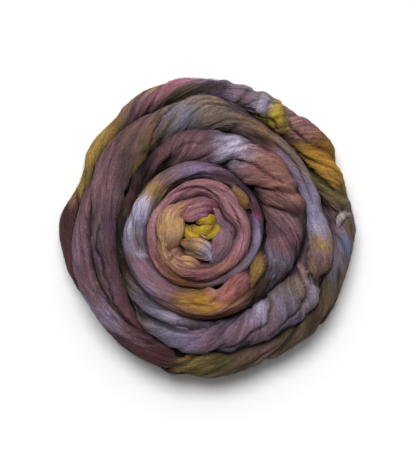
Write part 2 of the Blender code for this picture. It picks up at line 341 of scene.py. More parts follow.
def drift(angle):
    """How far in mm the fibres have drifted inwards between the strand's inner end and an angle."""
    slopes = charted(fibre_slopes, winding())
    steps = np.diff(along(winding())) * (slopes[1:] + slopes[:-1]) / 2
    return np.interp(angle, winding(), running(steps))


def on_strand(angle, radius):
    """(mm along, mm across from the crest, outwards) of a point, and whether it is at the outer edge."""
    around = np.linspace(math.atan(LEAN), math.pi, SECTION_SAMPLES)
    radii, heights = profile(np.full(SECTION_SAMPLES, float(angle)), around)
    across = running(np.hypot(np.diff(radii), np.diff(heights)))
    here = np.interp(-radius, -radii, across)
    top = np.interp(math.pi / 2, around, across)
    return np.array([float(along(angle)), top - here]), here < AT_EDGE


def noise(seed, x, y):
    """Smooth noise from -1 to 1 with a lattice step of 1 in x and y."""
    size = 512
    lattice = np.random.default_rng(seed).uniform(-1, 1, (size, size))
    i, j = np.floor(x).astype(int), np.floor(y).astype(int)
    u, v = ease(x - i), ease(y - j)
    near = lattice[i % size, j % size] * (1 - v) + lattice[i % size, (j + 1) % size] * v
    far = lattice[(i + 1) % size, j % size] * (1 - v) + lattice[(i + 1) % size, (j + 1) % size] * v
    return near * (1 - u) + far * u


def uneven(layers, x, y):
    """The sum of layers of smooth noise over x and y in mm."""
    return sum(strength * noise(seed, x / length, y / width) for seed, length, width, strength in layers)


def is_near(angle, other, s):
    """Whether a stretch between two angles comes near the points, which lie s mm along the strand."""
    first, last = sorted((float(along(angle)), float(along(other))))
    return last > s.min() - NEAR and first < s.max() + NEAR


def stroke_places(stroke, s, a):
    """(share along the stroke, distance to its side, length) for points s along and a across the strand."""
    start, start_at_edge = on_strand(stroke.from_angle, stroke.from_radius)
    end, end_at_edge = on_strand(stroke.to_angle, stroke.to_radius)
    length = np.hypot(*(end - start))
    ahead = (end - start) / length
    if start_at_edge:
        start = start - ahead * FLANK_REACH
        length += FLANK_REACH
    if end_at_edge:
        length += FLANK_REACH
    share = ((s - start[0]) * ahead[0] + (a - start[1]) * ahead[1]) / length
    side = (a - start[1]) * ahead[0] - (s - start[0]) * ahead[1]
    return share, side - stroke.bow * np.sin(math.pi * np.clip(share, 0, 1)), length


def swell(share, length, half_width):
    """1 along a stroke, falling softly to 0 at its ends over about twice its half width."""
    to_end = np.minimum(share, 1 - share) * length / min(2 * half_width, length / 2)
    u = np.clip(to_end, 0, 1)
    return u * (2 - u)


def fold_form(x, crisp):
    """The height across a fold at x half widths from its middle: crisp on one side, or even."""
    if crisp == 0:
        return np.cos(np.clip(x / EVEN, -1, 1) * math.pi / 2) ** 2
    x = x * crisp
    steep = np.sqrt(np.clip(1 - ((x - ROUND_FROM) / (1 - ROUND_FROM)) ** 2, 0, 1))
    gentle = np.cos(np.clip((x - ROUND_FROM) / (GENTLE + ROUND_FROM), -1, 0) * math.pi / 2) ** 2
    return np.where(x > ROUND_FROM, steep, gentle)


def stroke_relief(s, a, v):
    """(height in mm, shadow from 0 to 1) that all the folds and creases give to points of the strand."""
    wobble = uneven(FOLD_WOBBLE, s, v)
    highest, total, sunk, shadow = (np.zeros_like(a) for _ in range(4))
    for stroke in strokes:
        if not is_near(stroke.from_angle, stroke.to_angle, s):
            continue
        share, side, length = stroke_places(stroke, s, a)
        if isinstance(stroke, Crease):
            depth = stroke.depth * swell(share, length, 2 * stroke.half_width)
            dip = np.exp(-(((side + CREASE_WOBBLE * wobble) / stroke.half_width) ** 2))
            sunk += depth * dip
            shadow = np.maximum(shadow, dip * np.clip(depth / DARK_DEPTH, 0, 1))
            continue
        x = (side + wobble) / stroke.half_width
        lift = swell(share, length, stroke.half_width) * FOLD_SHARE
        form = lift * stroke.proud * fold_form(x, stroke.crisp)
        highest = np.maximum(highest, form)
        total += form
        if stroke.crisp:
            crease = np.exp(-(((x * stroke.crisp - CREASE_BESIDE[0]) / CREASE_BESIDE[1]) ** 2))
            sunk += CREASE_SHARE * stroke.proud * lift * crease
            shadow = np.maximum(shadow, crease * np.clip(lift * stroke.proud / DARK_HEIGHT, 0, 1))
    return highest + CROSSED_SHARE * (total - highest) - sunk, shadow


def fibre_relief(s, v):
    """(height in mm, how far split from 0 to 1) of the bundles that the fibres lie in."""
    relief = uneven(FIBRE_BUNDLES, s, v)
    split = np.zeros_like(relief)
    for seed, length, width, depth in SPLITS:
        line = np.clip(1 - np.abs(noise(seed, s / length, v / width)) / SPLIT_WIDTH, 0, 1)
        line = line * np.clip(SPLIT_OPEN + noise(seed + 1, s / length, v / width / 2), 0, 1)
        relief = relief - depth * line
        split = np.maximum(split, line)
    return relief, split


def dye_between(stations, dyes, place):
    """The dye at places among stations, blended from one named dye to the next."""
    colours = np.array([linear(DYES[dye])[:3] for dye in dyes])
    return np.stack([np.interp(place, stations, colours[:, i]) for i in range(3)], axis=-1)


def stained(angle, radius, s, v):
    """The dye of points of the strand: its ground, and then each stain over what lies under it."""
    stray = uneven(BLEED_ALONG, s, v)
    here_s, here_v = s + stray, v + uneven(BLEED_ACROSS, s, v)
    turns = sorted(grounds)
    here = angle + np.degrees(stray / np.maximum(radius, LEAST_RADIUS))
    dye = dye_between(turns, [grounds[turn] for turn in turns], here)
    for stain in stains:
        if not is_near(stain.angle, stain.angle, s):
            continue
        (middle_s, middle_a), _ = on_strand(stain.angle, stain.radius)
        middle_v = middle_a + drift(stain.angle)
        reach = ((here_s - middle_s) / stain.half_length) ** 2 + ((here_v - middle_v) / stain.half_width) ** 2
        covered = STAIN_STRENGTH * np.exp(-STAIN_FADE[0] * reach ** STAIN_FADE[1])
        dye = dye + (np.array(linear(DYES[stain.dye])[:3]) - dye) * covered[..., None]
    return dye


def tinted(dye, s, v, split):
    """The dye as the bundles take it up, a little lighter on some, with painted shade in the splits between
    them.
    """
    tint = (1 + uneven(TINT, s, v)) * (1 - SPLIT_SHADE * split)
    mean = dye.mean(axis=-1, keepdims=True)
    dye = (dye + DYE_DEPTH * (dye - mean)) * (mean / DYE_MIDDLE) ** DYE_SPREAD
    return np.clip(dye * tint[..., None], 0, 1)


def lay_turn(name, start, end):
    """Lays a length of the strand as a closed mesh, with its folds, creases, fibre lines and dyes."""
    rings = int((along(end) - along(start)) / RING_STEP)
    first = start - JOIN_LAP if start > STRAND_START else start
    last = end + JOIN_LAP if end < STRAND_END else end
    angle = np.linspace(first, last, rings)[:, None]
    low, high = SHOWN
    r, z = profile(np.array([[(start + end) / 2]]), np.linspace(math.radians(low), math.radians(high), 200))
    points = int(np.hypot(np.diff(r), np.diff(z)).sum() / ACROSS_STEP) // 2 * 2 + 1
    under_out = np.linspace(-90, low, HIDDEN_POINTS, endpoint=False)
    under_in = np.linspace(high, 270, HIDDEN_POINTS + 1)[1:]
    around = np.radians(np.concatenate((under_out, np.linspace(low, high, points), under_in)))[None, :]
    radius, height = profile(angle, around)
    out, up = np.gradient(radius, axis=1), np.gradient(height, axis=1)
    size = np.maximum(np.hypot(out, up), 1e-9)
    lengths = np.hypot(np.diff(radius, axis=1), np.diff(height, axis=1))
    across = np.concatenate((np.zeros((rings, 1)), np.cumsum(lengths, axis=1)), axis=1)
    top = np.abs(around[0] - math.pi / 2).argmin()
    a = across[:, top : top + 1] - across
    s = along(angle) + np.zeros_like(a)
    v = a + drift(angle)

    lift, shadow = stroke_relief(s, a, v)
    relief, split = fibre_relief(s, v)
    turn = np.radians(angle)
    upward = np.clip((np.sin(around) - UPWARD[0]) * UPWARD[1], 0, 1) + 0 * radius
    covers = []
    for sheet in sheets:
        x, y = radius * np.cos(turn), radius * np.sin(turn)
        cover, rise, share, deep = lay_sheet(sheet, x, y, angle, upward)
        if cover.any() or deep.any():
            # A laid-over fold's painted shadow in its crease or hollow, over that of the strokes that it
            # covers.
            shadow = np.maximum(shadow * (1 - cover), deep)
            lift = lift * (1 - SHEET_HIDES * cover) + rise
            covers.append((sheet, cover, share))
    lift = (lift + relief) * (SIDE_HOLD + (1 - SIDE_HOLD) * np.clip(np.sin(around) * FLANK_HOLD, 0, 1))
    lift = lift - JOIN_DEPTH * np.clip(np.maximum(start - angle, angle - end) / JOIN_LAP, 0, 1)
    radius = radius + up / size * lift
    height = np.maximum(height - out / size * lift, 0)
    places = np.stack((radius * np.cos(turn), radius * np.sin(turn), height), axis=-1) * MM

    dye = stained(angle, radius, s, v)
    for sheet, cover, share in covers:
        dye = dye_sheet(sheet, cover, share, s, v, dye)
    outermost = (angle > STRAND_END - 360) & (np.cos(around) > 0)
    # Painted shade down both sides of each turn, but not on the outermost turn's open outer side.
    side = np.where(outermost, 0, np.clip(1 - np.sin(around) / SIDE_FROM, 0, 1) ** 1.05)
    # Painted light low on the outermost turn's outer side.
    rim = np.clip(1 - np.abs(np.sin(around) - RIM_PLACE[0]) / RIM_PLACE[1], 0, 1)
    dye = dye * (1 + RIM_LIGHT * np.where(outermost, rim, 0))[..., None]
    # Painted shade down the sides and in the creases, tucks and hollows.
    dye = tinted(dye, s, v, split) * ((1 - SIDE_SHADE * side) * (1 - CREASE_SHADE * shadow))[..., None]
    laid.append((name, places, s, v, dye))
    knit(name, places, np.stack((s, v), axis=-1), dye)


def smooth_rows(rows, count):
    """A count of rows of numbers, evenly spaced on a smooth curve through the given ones."""
    rows = np.array(rows, float)
    place = np.linspace(0, len(rows) - 1.001, count)
    rows = np.concatenate((2 * rows[:1] - rows[1:2], rows, 2 * rows[-1:] - rows[-2:-1]))
    i = np.clip(place.astype(int), 0, len(rows) - 4)
    return curve(rows[i], rows[i + 1], rows[i + 2], rows[i + 3], (place - i)[:, None])


def lay_lock(name, rows, dyes, thick=0.6):
    """Lays a short lock of fibres as a closed mesh: rows of x, y, top and half width in mm, from end to end,
    the dyes along it, and its thickness over its width."""
    path = smooth_rows(rows, LOCK_SAMPLES)
    run = running(np.hypot(np.diff(path[:, 0]), np.diff(path[:, 1])))
    length = run[-1]
    s = np.linspace(0, length, int(length / LOCK_STEP) + 12)
    s = length / 2 - length / 2 * np.cos(math.pi * s / length) * (0.6 + 0.4 * np.abs(2 * s / length - 1))
    x, y, top, half = (np.interp(s, run, path[:, i])[:, None] for i in range(4))
    ahead_x, ahead_y = np.gradient(x[:, 0], s)[:, None], np.gradient(y[:, 0], s)[:, None]
    size = np.hypot(ahead_x, ahead_y)
    to_end = np.clip(np.minimum(s, length - s)[:, None] / (LOCK_TAPER * half), 0.002, 1)
    end_share = np.sqrt(1 - (1 - to_end) ** 2)
    points = int(3 * half.max() / LOCK_STEP) + 20
    around = np.linspace(-math.pi / 2, 3 * math.pi / 2, points)[None, :]
    out = half * end_share * np.cos(around)
    up = thick * half * (end_share * np.sin(around) * (1 + 0.08 * np.cos(around)) - 1)
    s = s[:, None] + 0 * around
    v = half * (math.pi / 2 - around)
    far = s + LOCK_APART * len(laid)
    relief, split = fibre_relief(far, v)
    relief = (relief + uneven(LOCK_LUMPS, far, v)) * end_share
    out = out + relief * np.cos(around)
    height = np.maximum(top + up + relief * np.sin(around), 0)
    places = np.stack((x + out * ahead_y / size, y - out * ahead_x / size, height), axis=-1) * MM
    here = np.clip(s / length + uneven(LOCK_BLEED, far, v), 0, 1) * (len(dyes) - 1)
    # Painted shade down the lock's sides.
    side = np.clip(1 - 2 * np.sin(around), 0, 1)[..., None]
    dye = tinted(dye_between(range(len(dyes)), dyes, here), far, v, split) * (1 - SIDE_SHADE * side)
    laid.append((name, places, s, v, dye))
    knit(name, places, np.stack((far, v), axis=-1), dye)


def knit(name, places, fibres, dye):
    """A closed tube from rows of points, with its fibre lines as a UV map in mm and its dyes."""
    rings, points = places.shape[:2]
    bm = bmesh.new()
    bmesh.ops.create_grid(bm, x_segments=points - 1, y_segments=rings - 1, size=1.0)
    mesh = bpy.data.meshes.new(name)
    bm.to_mesh(mesh)
    mesh.vertices.foreach_set("co", places.ravel())
    corners = np.empty(len(mesh.loops), int)
    mesh.loops.foreach_get("vertex_index", corners)
    layer = mesh.uv_layers.new(name="fibres")
    layer.data.foreach_set("uv", fibres.reshape(-1, 2)[corners].ravel())
    colour = mesh.color_attributes.new("dye", "FLOAT_COLOR", "POINT")
    colour.data.foreach_set("color", np.concatenate((dye, np.ones_like(dye[..., :1])), axis=-1).ravel())
    bm.clear()
    bm.from_mesh(mesh)
    bpy.data.meshes.remove(mesh)
    bmesh.ops.remove_doubles(bm, verts=[v for v in bm.verts if v.is_boundary], dist=SEAM_GAP)
    for face in bm.faces:
        face.smooth = True
    bmesh.ops.holes_fill(bm, edges=[e for e in bm.edges if e.is_boundary], sides=0)
    bmesh.ops.recalc_face_normals(bm, faces=bm.faces)
    join_coil(new_object(name, bm, wool))


def join_coil(piece):
    """Makes a piece part of the coil: it moves with it, and stands in for its plain solid."""
    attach(piece, "root")
    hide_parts("roving_coil")


def add_node(tree, kind, settings=(), **links):
    """Adds a node with its settings, and links each named input from a socket or sets it to a value."""
    node = tree.nodes.new(kind)
    for name, value in dict(settings).items():
        setattr(node, name, value)
    for name, value in links.items():
        spoken = name.replace("_", " ").lower()
        socket = next(s for s in node.inputs if s.enabled and s.name.lower() == spoken)
        if isinstance(value, bpy.types.NodeSocket):
            tree.links.new(value, socket)
        else:
            socket.default_value = value
    return node


# Combed dyed wool: matt, with a faint sheen. Single fibres are 0.03 mm, too fine to show, so the bundles that
# they lie in are drawn 0.8 to 1.5 mm wide, and their crimp is a fine grain over them.
BUNDLE = (15.0, 1.5)  # mm long and wide
HAIR = (4.0, 0.8)
CRIMP = (1.5, 1.1)
BUMP_HEIGHT = 1.1  # mm
wool, wool_tree, wool_shader = new_material("combed dyed wool", 0.85)
wool_shader.inputs["Specular IOR Level"].default_value = 0.1
wool_shader.inputs["Sheen Weight"].default_value = 0.06
wool_shader.inputs["Sheen Roughness"].default_value = 0.45
fibre_lines = add_node(wool_tree, "ShaderNodeUVMap", {"uv_map": "fibres"}).outputs["UV"]
dye_layer = add_node(wool_tree, "ShaderNodeAttribute", {"attribute_name": "dye"}).outputs["Color"]


def fibre_noise(length, width, detail):
    """Noise drawn out along the fibre lines."""
    scale = (1 / length, 1 / width, 1.0)
    mapped = add_node(wool_tree, "ShaderNodeMapping", vector=fibre_lines, scale=scale).outputs[0]
    spread = {"vector": mapped, "scale": 1.0, "detail": detail, "roughness": 0.6}
    return add_node(wool_tree, "ShaderNodeTexNoise", **spread).outputs["Fac"]


def blend(first, second, share):
    """A mix of two values."""
    settings = {"data_type": "FLOAT"}
    return add_node(wool_tree, "ShaderNodeMix", settings, factor=share, a=first, b=second).outputs[0]


lines = blend(fibre_noise(*BUNDLE, 2.0), fibre_noise(*HAIR, 1.0), 0.5)
both = blend(lines, fibre_noise(*CRIMP, 2.0), 0.5)
shade_range = {"from_min": 0.34, "from_max": 0.66, "to_min": 0.44, "to_max": 1.34}
shade = add_node(wool_tree, "ShaderNodeMapRange", value=both, **shade_range).outputs[0]
shaded = add_node(wool_tree, "ShaderNodeVectorMath", {"operation": "SCALE"}, vector=dye_layer, scale=shade)
wool_tree.links.new(shaded.outputs[0], wool_shader.inputs["Base Color"])
bump = add_node(wool_tree, "ShaderNodeBump", strength=0.6, distance=BUMP_HEIGHT * MM, height=both)
wool_tree.links.new(bump.outputs[0], wool_shader.inputs["Normal"])

YELLOWS = ["olive", "core yellow", "bright yellow", "core yellow", "olive"]
KNOT = {  # rows of x, y, top and half width in mm along each lock
    "knot_left": [(-16, 5, 54, 4), (-13, -2, 56, 5), (-6, -5, 57, 5), (2, -4, 56, 4)],
    "knot_top": [(-6, 6, 57, 4), (1, 9, 60, 6), (7, 8, 60, 6), (12, 5, 56, 4)],
    "knot_fold": [(-11, 3, 56, 4), (-4, 0, 58, 4), (3, 1, 60, 5), (9, 4, 59, 4)],
    "knot_right": [(-1, -6, 55, 4), (5, -4, 58, 4), (11, 0, 58, 4), (12, 6, 57, 3)],
}

chart(edge_radii, -660, STATION_STEP, (7, 7, 7, 7, 7, 7, 7, 7, 7, 8, 10, 12))
chart(edge_radii, -300, STATION_STEP, (14.5, 13.5, 13.5, 17, 19, 22, 24.5, 26.5, 29, 26.5, 28, 19))
chart(edge_radii, 60, STATION_STEP, (23, 27.5, 29))
crest_heights.update({-150: 54, -20: 55, 60: 57, 150: 57})
fibre_slopes.update({-150: 0.3, 45: 0.25})
grounds.update({-150: "tan brown", -100: "tan", -60: "mauve", 45: "mauve"})
strokes += [
    Fold(-145, 17, -108, 20.4, 0.8, 5.1, 3, 1),
    Fold(-124, 14.4, -74, 17, 0.8, 5.1, 3, -1),
    Fold(-98, 22.9, -64, 20.4, 0.8, 4.2, 3, 1),
    Fold(-70, 17.8, 2, 18.7, 2.5, 6.8, 3, 1),
    Fold(-42, 11.9, 35, 12.8, 1.7, 4.2, 2, 1),
]
stains += [
    Stain(-118, 14.4, 6.8, 4.2, "amber"),
    Stain(-73, 23.1, 3.4, 3.4, "pale lavender"),
    Stain(-28, 18.3, 10.2, 6, "mauve"),
    Stain(-66, 29.7, 7.6, 3.4, "grey mauve"),
    Stain(69, 23.7, 11.9, 5.1, "rose"),
]
lay_turn("gathered_folds", -150, 45)
lay_lock("knot_bed", [(-13, 4, 50, 13), (0, 2, 51, 15), (10, 2, 50, 13)], ["umber", "dark olive"], thick=0.9)
for lock_name, rows in KNOT.items():
    lay_lock(lock_name, rows, YELLOWS, thick=0.8)
lay_lock(
    "rose_fold",
    [(-19, 13, 58, 7), (-11, 14, 61, 8), (-3, 17, 62, 8), (6, 18, 61, 9), (12, 13, 58, 7)],
    ["salmon", "rose", "rose", "maroon rose", "deep maroon"],
)
lay_lock(
    "lavender_fold",
    [(14, 4, 56.5, 5), (17, -4, 60, 8), (16, -12, 61, 10), (11, -20, 59, 9), (6, -28, 55, 6)],
    ["mauve rose", "mauve", "mauve rose", "mauve", "lavender"],
)
lay_lock(
    "gold_fold",
    [(-19, -10, 55, 4), (-12, -12, 58, 6), (-4, -13, 60, 7), (3, -17, 60, 7), (8, -26, 56, 5)],
    ["amber", "tan brown", "tan", "lavender", "pale lavender"],
)
lay_lock(
    "tan_lobe",
    [(-22, 21, 60, 8), (-27, 12, 62, 11), (-27, 2, 63, 12), (-27, -7, 62, 11), (-25, -16, 58, 8)],
    ["salmon", "tan", "light tan", "tan", "rose brown"],
)
lay_lock(
    "lower_tan_lobe",
    [(-27, -24, 57, 5), (-20, -28, 60.5, 7), (-11, -29, 61, 7), (-3, -35, 57, 6)],
    ["tan", "tan", "light tan", "rose brown", "rose brown"],
)
lay_lock("cream_wisp", [(-3, -4, 60.5, 0.5), (0, -5, 61, 0.7), (4, -7.8, 60, 0.5)], ["tan", "cream", "taupe"])


# ---- The rose turns ----
# The strand's next turn and a half, pulled smooth and narrow and wound close round the knot. It is the same
# combed wool, dyed rose and tan with a brown rim, and it stands highest of all.
SHEET_SHARE = 1.15  # of its charted rise that a laid-over fold gets
SHEET_SAMPLES = 120  # points that its length is measured on
SHEET_TUCK = 2.4  # mm at most that the wool dips beside a fold's crisp edge
SHEET_HIDES = 0.5  # how much of the strokes under it a laid-over fold evens out
SHEET_DYE = 0.6  # how much of its own dye shows
SHEET_REACH = 150.0  # degrees of winding each way that it may lie on
LEAST_SHEET = 0.8  # mm, the least half width
SHEET_FLAT = 0.35  # half widths from its middle that its crisp side starts to turn down at
SHEET_GENTLE = 1.7  # half widths that its gentle side reaches
TUCK_PLACE = (0.7, 0.8)  # mm from its edge to the middle of the crease beside it, and how wide that is
SHEET_EDGE = ((41, 9, 9, 0.16), (42, 3.5, 3.5, 0.08))  # layers of unevenness, in half widths
SHEET_BLEED = ((25, 9, 2, 0.05),)  # shares of its length
SHEET_PATCHES = ((26, 10, 2.2, 0.6),)  # shares of its dye

# A fold of wool that is laid over the strand: rows of x, y, rise and half width in mm, seen from above, from
# end to end, the side that its crisp edge is on (1 right, -1 left, 2 both, 0 neither), and the dyes along it.
Sheet = namedtuple("Sheet", "rows crisp dyes")


def hollow(*rows):
    """A crease or a dip in the strand, laid like a fold with a rise below 0, with painted shadow in it and no
    dye of its own.
    """
    return Sheet(rows, 2, ["umber"])


def sheet_path(sheet):
    """Points along a laid-over fold (x, y, rise, half width), the way ahead at each and the distance."""
    path = smooth_rows(sheet.rows, SHEET_SAMPLES)
    ahead = np.gradient(path[:, :2], axis=0)
    ahead = ahead / np.linalg.norm(ahead, axis=1)[:, None]
    return path, ahead, running(np.hypot(np.diff(path[:, 0]), np.diff(path[:, 1])))


def sheet_turn(path):
    """The winding angle of the part of the strand that the middle of a laid-over fold lies on."""
    x, y = path[len(path) // 2, :2]
    turns = [math.degrees(math.atan2(y, x)) % 360 + full for full in range(-360, 2160, 360)]
    return min(t for t in turns if edge(t) > math.hypot(x, y) and t > STRAND_START)


def lay_sheet(sheet, x, y, angle, upward):
    """(how far covered, rise in mm, share along it, painted shadow in a crease) that a laid-over fold or a
    hollow gives to points of the strand, less where their surface doesn't face upwards."""
    cover, rise, share, deep = (np.zeros_like(x) for _ in range(4))
    path, ahead, run = sheet_path(sheet)
    widest = 2 * path[:, 3].max() + 4
    low, high = path[:, :2].min(axis=0) - widest, path[:, :2].max(axis=0) + widest
    inside = (x > low[0]) & (x < high[0]) & (y > low[1]) & (y < high[1])
    inside &= np.abs(angle - sheet_turn(path)) < SHEET_REACH
    if not inside.any():
        return cover, rise, share, deep
    px, py, upward = x[inside], y[inside], upward[inside]
    i = ((px[:, None] - path[:, 0]) ** 2 + (py[:, None] - path[:, 1]) ** 2).argmin(axis=1)
    away_x, away_y = px - path[i, 0], py - path[i, 1]
    half = np.maximum(path[i, 3], LEAST_SHEET)
    aside = (away_x * ahead[i, 1] - away_y * ahead[i, 0]) / half + uneven(SHEET_EDGE, px, py)
    place = run[i] + away_x * ahead[i, 0] + away_y * ahead[i, 1]
    to_end = np.clip(np.minimum(place, run[-1] - place) / half, -1, 1)
    crisp = (sheet.crisp == 2) | (np.sign(aside) == sheet.crisp)
    steep = np.sqrt(np.clip(1 - (np.clip(np.abs(aside) - SHEET_FLAT, 0, 1) / (1 - SHEET_FLAT)) ** 2, 0, 1))
    gentle = np.cos(np.clip(np.abs(aside) / SHEET_GENTLE, 0, 1) * math.pi / 2) ** 2
    form = np.where(crisp, steep, gentle) * np.sqrt(np.clip(1 - (1 - np.clip(to_end, 0, 1)) ** 2, 0, 1))
    beside = (form < 0.25) & (to_end > -0.05) & crisp
    tuck = np.exp(-(((np.abs(aside) - 1.0) * half - TUCK_PLACE[0]) / TUCK_PLACE[1]) ** 2) * beside
    up, down = np.clip(path[i, 2], 0, None), np.clip(-path[i, 2], 0, None)
    dip = np.minimum(SHEET_TUCK, 0.7 * up) * tuck
    cover[inside] = form**0.5 * np.clip(up / 1.5, 0, 1) * upward
    rise[inside] = (SHEET_SHARE * up * form - dip) * upward - down * form
    share[inside] = np.clip(place / run[-1], 0, 1)
    # Painted shadow in the crease beside a crisp edge, and down in a hollow.
    deep[inside] = tuck * np.clip(up / 3, 0, 1) * upward + form * np.clip(down / 4, 0, 1)
    return cover, rise, share, deep


def dye_sheet(sheet, cover, share, s, v, dye):
    """The dye of points of the strand with that of a laid-over fold upon it."""
    here = np.clip(share + uneven(SHEET_BLEED, s, v), 0, 1) * (len(sheet.dyes) - 1)
    fresh = dye_between(range(len(sheet.dyes)), sheet.dyes, here)
    taken = SHEET_DYE * np.clip(cover**2 * (1.2 + uneven(SHEET_PATCHES, s, v)), 0, 1)
    return dye + (fresh - dye) * taken[..., None]


chart(edge_radii, 150, STATION_STEP, (35, 39, 42.5, 43.5, 42.5, 41.5, 41.5, 40, 40))
chart(edge_radii, 420, STATION_STEP, (41.5, 42.5, 42.5, 42.5, 46, 48.5, 49.5, 46.5, 46.5, 50, 51, 52))
crest_heights.update({360: 60, 630: 53, 760: 55})
fibre_slopes.update({150: 0.15, 615: 0.1})
grounds.update({
    45: "rose", 100: "rose brown", 200: "tan", 225: "rose brown", 250: "maroon rose", 290: "rose brown",
    340: "rose", 500: "rose", 560: "rose", 615: "gold brown",
})
strokes += [
    Fold(50, 17.8, 108, 22.9, 0.8, 6, 3, 1),
    Fold(96, 30.6, 118, 29.8, 0.8, 3.4, 3, 0),
    Fold(100, 22.1, 170, 28.1, 2.5, 6.8, 3, 1),
    Fold(150, 25.5, 208, 32.3, 0, 7.6, 3.5, 1),
    Fold(210, 36.5, 224, 34, 1.7, 5.1, 3, -1),
    Fold(224, 34, 262, 32.3, 1.7, 7.6, 4, 1),
    Fold(228, 42.5, 286, 39.1, 0, 5.1, 2.5, 1),
    Fold(284, 34.9, 345, 34, 0.8, 5.1, 2.5, 1),
    Fold(296, 28.9, 350, 28.9, 0, 3.4, 1.5, 0),
    Fold(360, 34.9, 422, 37.4, 0, 5.1, 2, 1),
    Fold(415, 39.1, 478, 39.1, 0, 4.2, 2, -1),
    Fold(420, 33.1, 465, 34.9, 0, 4.2, 2, 0),
    Fold(472, 36.5, 518, 39.9, 0, 3.4, 2, 1),
    Fold(510, 39.9, 575, 44.2, 0, 3.4, 2.5, -1),
    Fold(572, 44.2, 615, 45.9, 0.8, 3.4, 2.5, -1),
    Crease(205, 20, 212, 38, 2.0, 5),
    Crease(222, 30, 222, 40, 1.2, 3),
]
stains += [
    Stain(426, 38.1, 17, 5.1, "rose"),
    Stain(398, 34.5, 11.9, 5.1, "rose"),
    Stain(338, 35.8, 13.6, 5.1, "rose"),
    Stain(454, 37.5, 15.3, 4.2, "rose"),
    Stain(487, 39.4, 10.2, 2.5, "rose"),
    Stain(518, 41.2, 10.2, 2.5, "rose"),
    Stain(551, 44.2, 11.9, 2.5, "rose"),
    Stain(577, 45.6, 6.8, 2.1, "rust"),
    Stain(596, 43.5, 8, 2, "gold brown"),
    Stain(602, 45.3, 10.2, 2.5, "gold brown"),
    Stain(615, 43.1, 8.5, 2.5, "gold brown"),
    Stain(106, 22.1, 8.5, 5.1, "maroon rose"),
    Stain(156, 28.9, 7.6, 7.6, "light tan"),
    Stain(195, 33.4, 10.2, 6, "light tan"),
    Stain(225, 38.5, 6.8, 5.1, "tan"),
    Stain(246, 35.4, 8.5, 5.1, "rose brown"),
    Stain(250, 27.2, 6.8, 2.5, "light tan"),
    Stain(269, 39.1, 11.9, 3.4, "maroon rose"),
    Stain(301, 37.8, 10.2, 4.2, "rose brown"),
    Stain(343, 29.3, 10.2, 4.2, "rose"),
]
sheets += [
    # crease inside the rose ring
    hollow(
        (-30, 24, -0.5, 1), (-25.9, 30.5, -3, 1.2), (-7.4, 36, -3, 1.2), (8, 31, -3, 1.2),
        (17, 18, -0.5, 1),
    ),
    # crease on its right
    hollow((19, 26, -0.5, 0.9), (26, 16, -2.5, 1), (30.5, 6, -2.5, 1), (32, -4, -0.5, 0.9)),
]
lay_turn("rose_turns", 45, 615)


# ---- The smooth turn ----
# A broad turn and a quarter with few folds, wound a little lower, whose dye runs from lavender by gold to
# salmon. The salmon wool stands up in a lip, and tufts of gold and olive wool are squeezed out beside it.
chart(edge_radii, 780, STATION_STEP, (53, 58, 59.5, 63, 67.5, 70, 73, 75.5, 75.5, 79, 87.5, 87.5))
edge_trims.update({640: 0, 665: -2, 690: -1.5, 712: 0, 850: 0, 868: -2.2, 888: -2.8, 908: 0})
crest_heights.update({960: 56, 1110: 51})
fibre_slopes.update({860: 0.2, 980: 0.12, 1030: 0.3})
grounds.update({
    615: "gold brown", 650: "grey mauve", 720: "grey mauve", 735: "plum", 770: "plum", 795: "mauve brown",
    830: "mauve", 860: "old gold", 885: "pale lavender", 920: "grey mauve", 940: "mauve rose",
    965: "mauve rose", 990: "gold", 1010: "salmon", 1030: "umber", 1058: "mauve brown",
})
strokes += [
    Fold(656, 43.4, 720, 46.8, 0, 3.8, 2.5, 1),
    Fold(722, 48.4, 758, 49.3, 0.8, 4.2, 2, 1),
    Fold(746, 44.2, 777, 44.2, 0, 3.4, 2.5, -1),
    Fold(776, 48.4, 812, 48.4, 1.7, 5.1, 2.5, 1),
    Fold(808, 52.7, 852, 51, 1.7, 6.8, 2.5, -1),
    Fold(845, 56.1, 870, 51.9, 0.8, 6, 2, 0),
    Fold(868, 57.8, 898, 51, 1.7, 6, 3, 1),
    Fold(892, 61.2, 926, 56.1, 1.7, 6, 2.5, -1),
    Fold(915, 64.6, 928, 51, 0.8, 2.5, 2, 0),
    Fold(923, 61.2, 970, 59.5, 1.7, 7.6, 3, 1),
    Fold(932, 66.3, 968, 69.7, 0.8, 3.4, 2, 0),
    Fold(970, 63.8, 1012, 65.5, 2.5, 5.1, 3.5, 1),
    Fold(974, 54.4, 1002, 58.6, 0.8, 6, 2.5, 1),
    Fold(1000, 62, 1026, 57.8, 0.8, 6, 3, 0),
    Fold(1008, 72.2, 1042, 68, 0.8, 6, 2.5, -1),
    Fold(988, 45.9, 1004, 55.2, -0.8, 3, 3, -1),
    Fold(1002, 52.7, 1049, 51, 2.5, 5.1, 4.5, -1),
    Fold(1030, 62, 1067, 52.7, 1.7, 3.4, 3.5, 1),
    Fold(1042, 75.6, 1078, 60.4, 1.7, 6.8, 3.5, 1),
    Fold(1052, 79, 1078, 68, 2.5, 6, 3, 1),
    Crease(738, 42.5, 744, 42.5, 2.5, 6),
    Crease(988, 45, 1012, 47, 3.2, 12),
    Crease(1020, 74.8, 1036, 62, 1.2, 3),
]
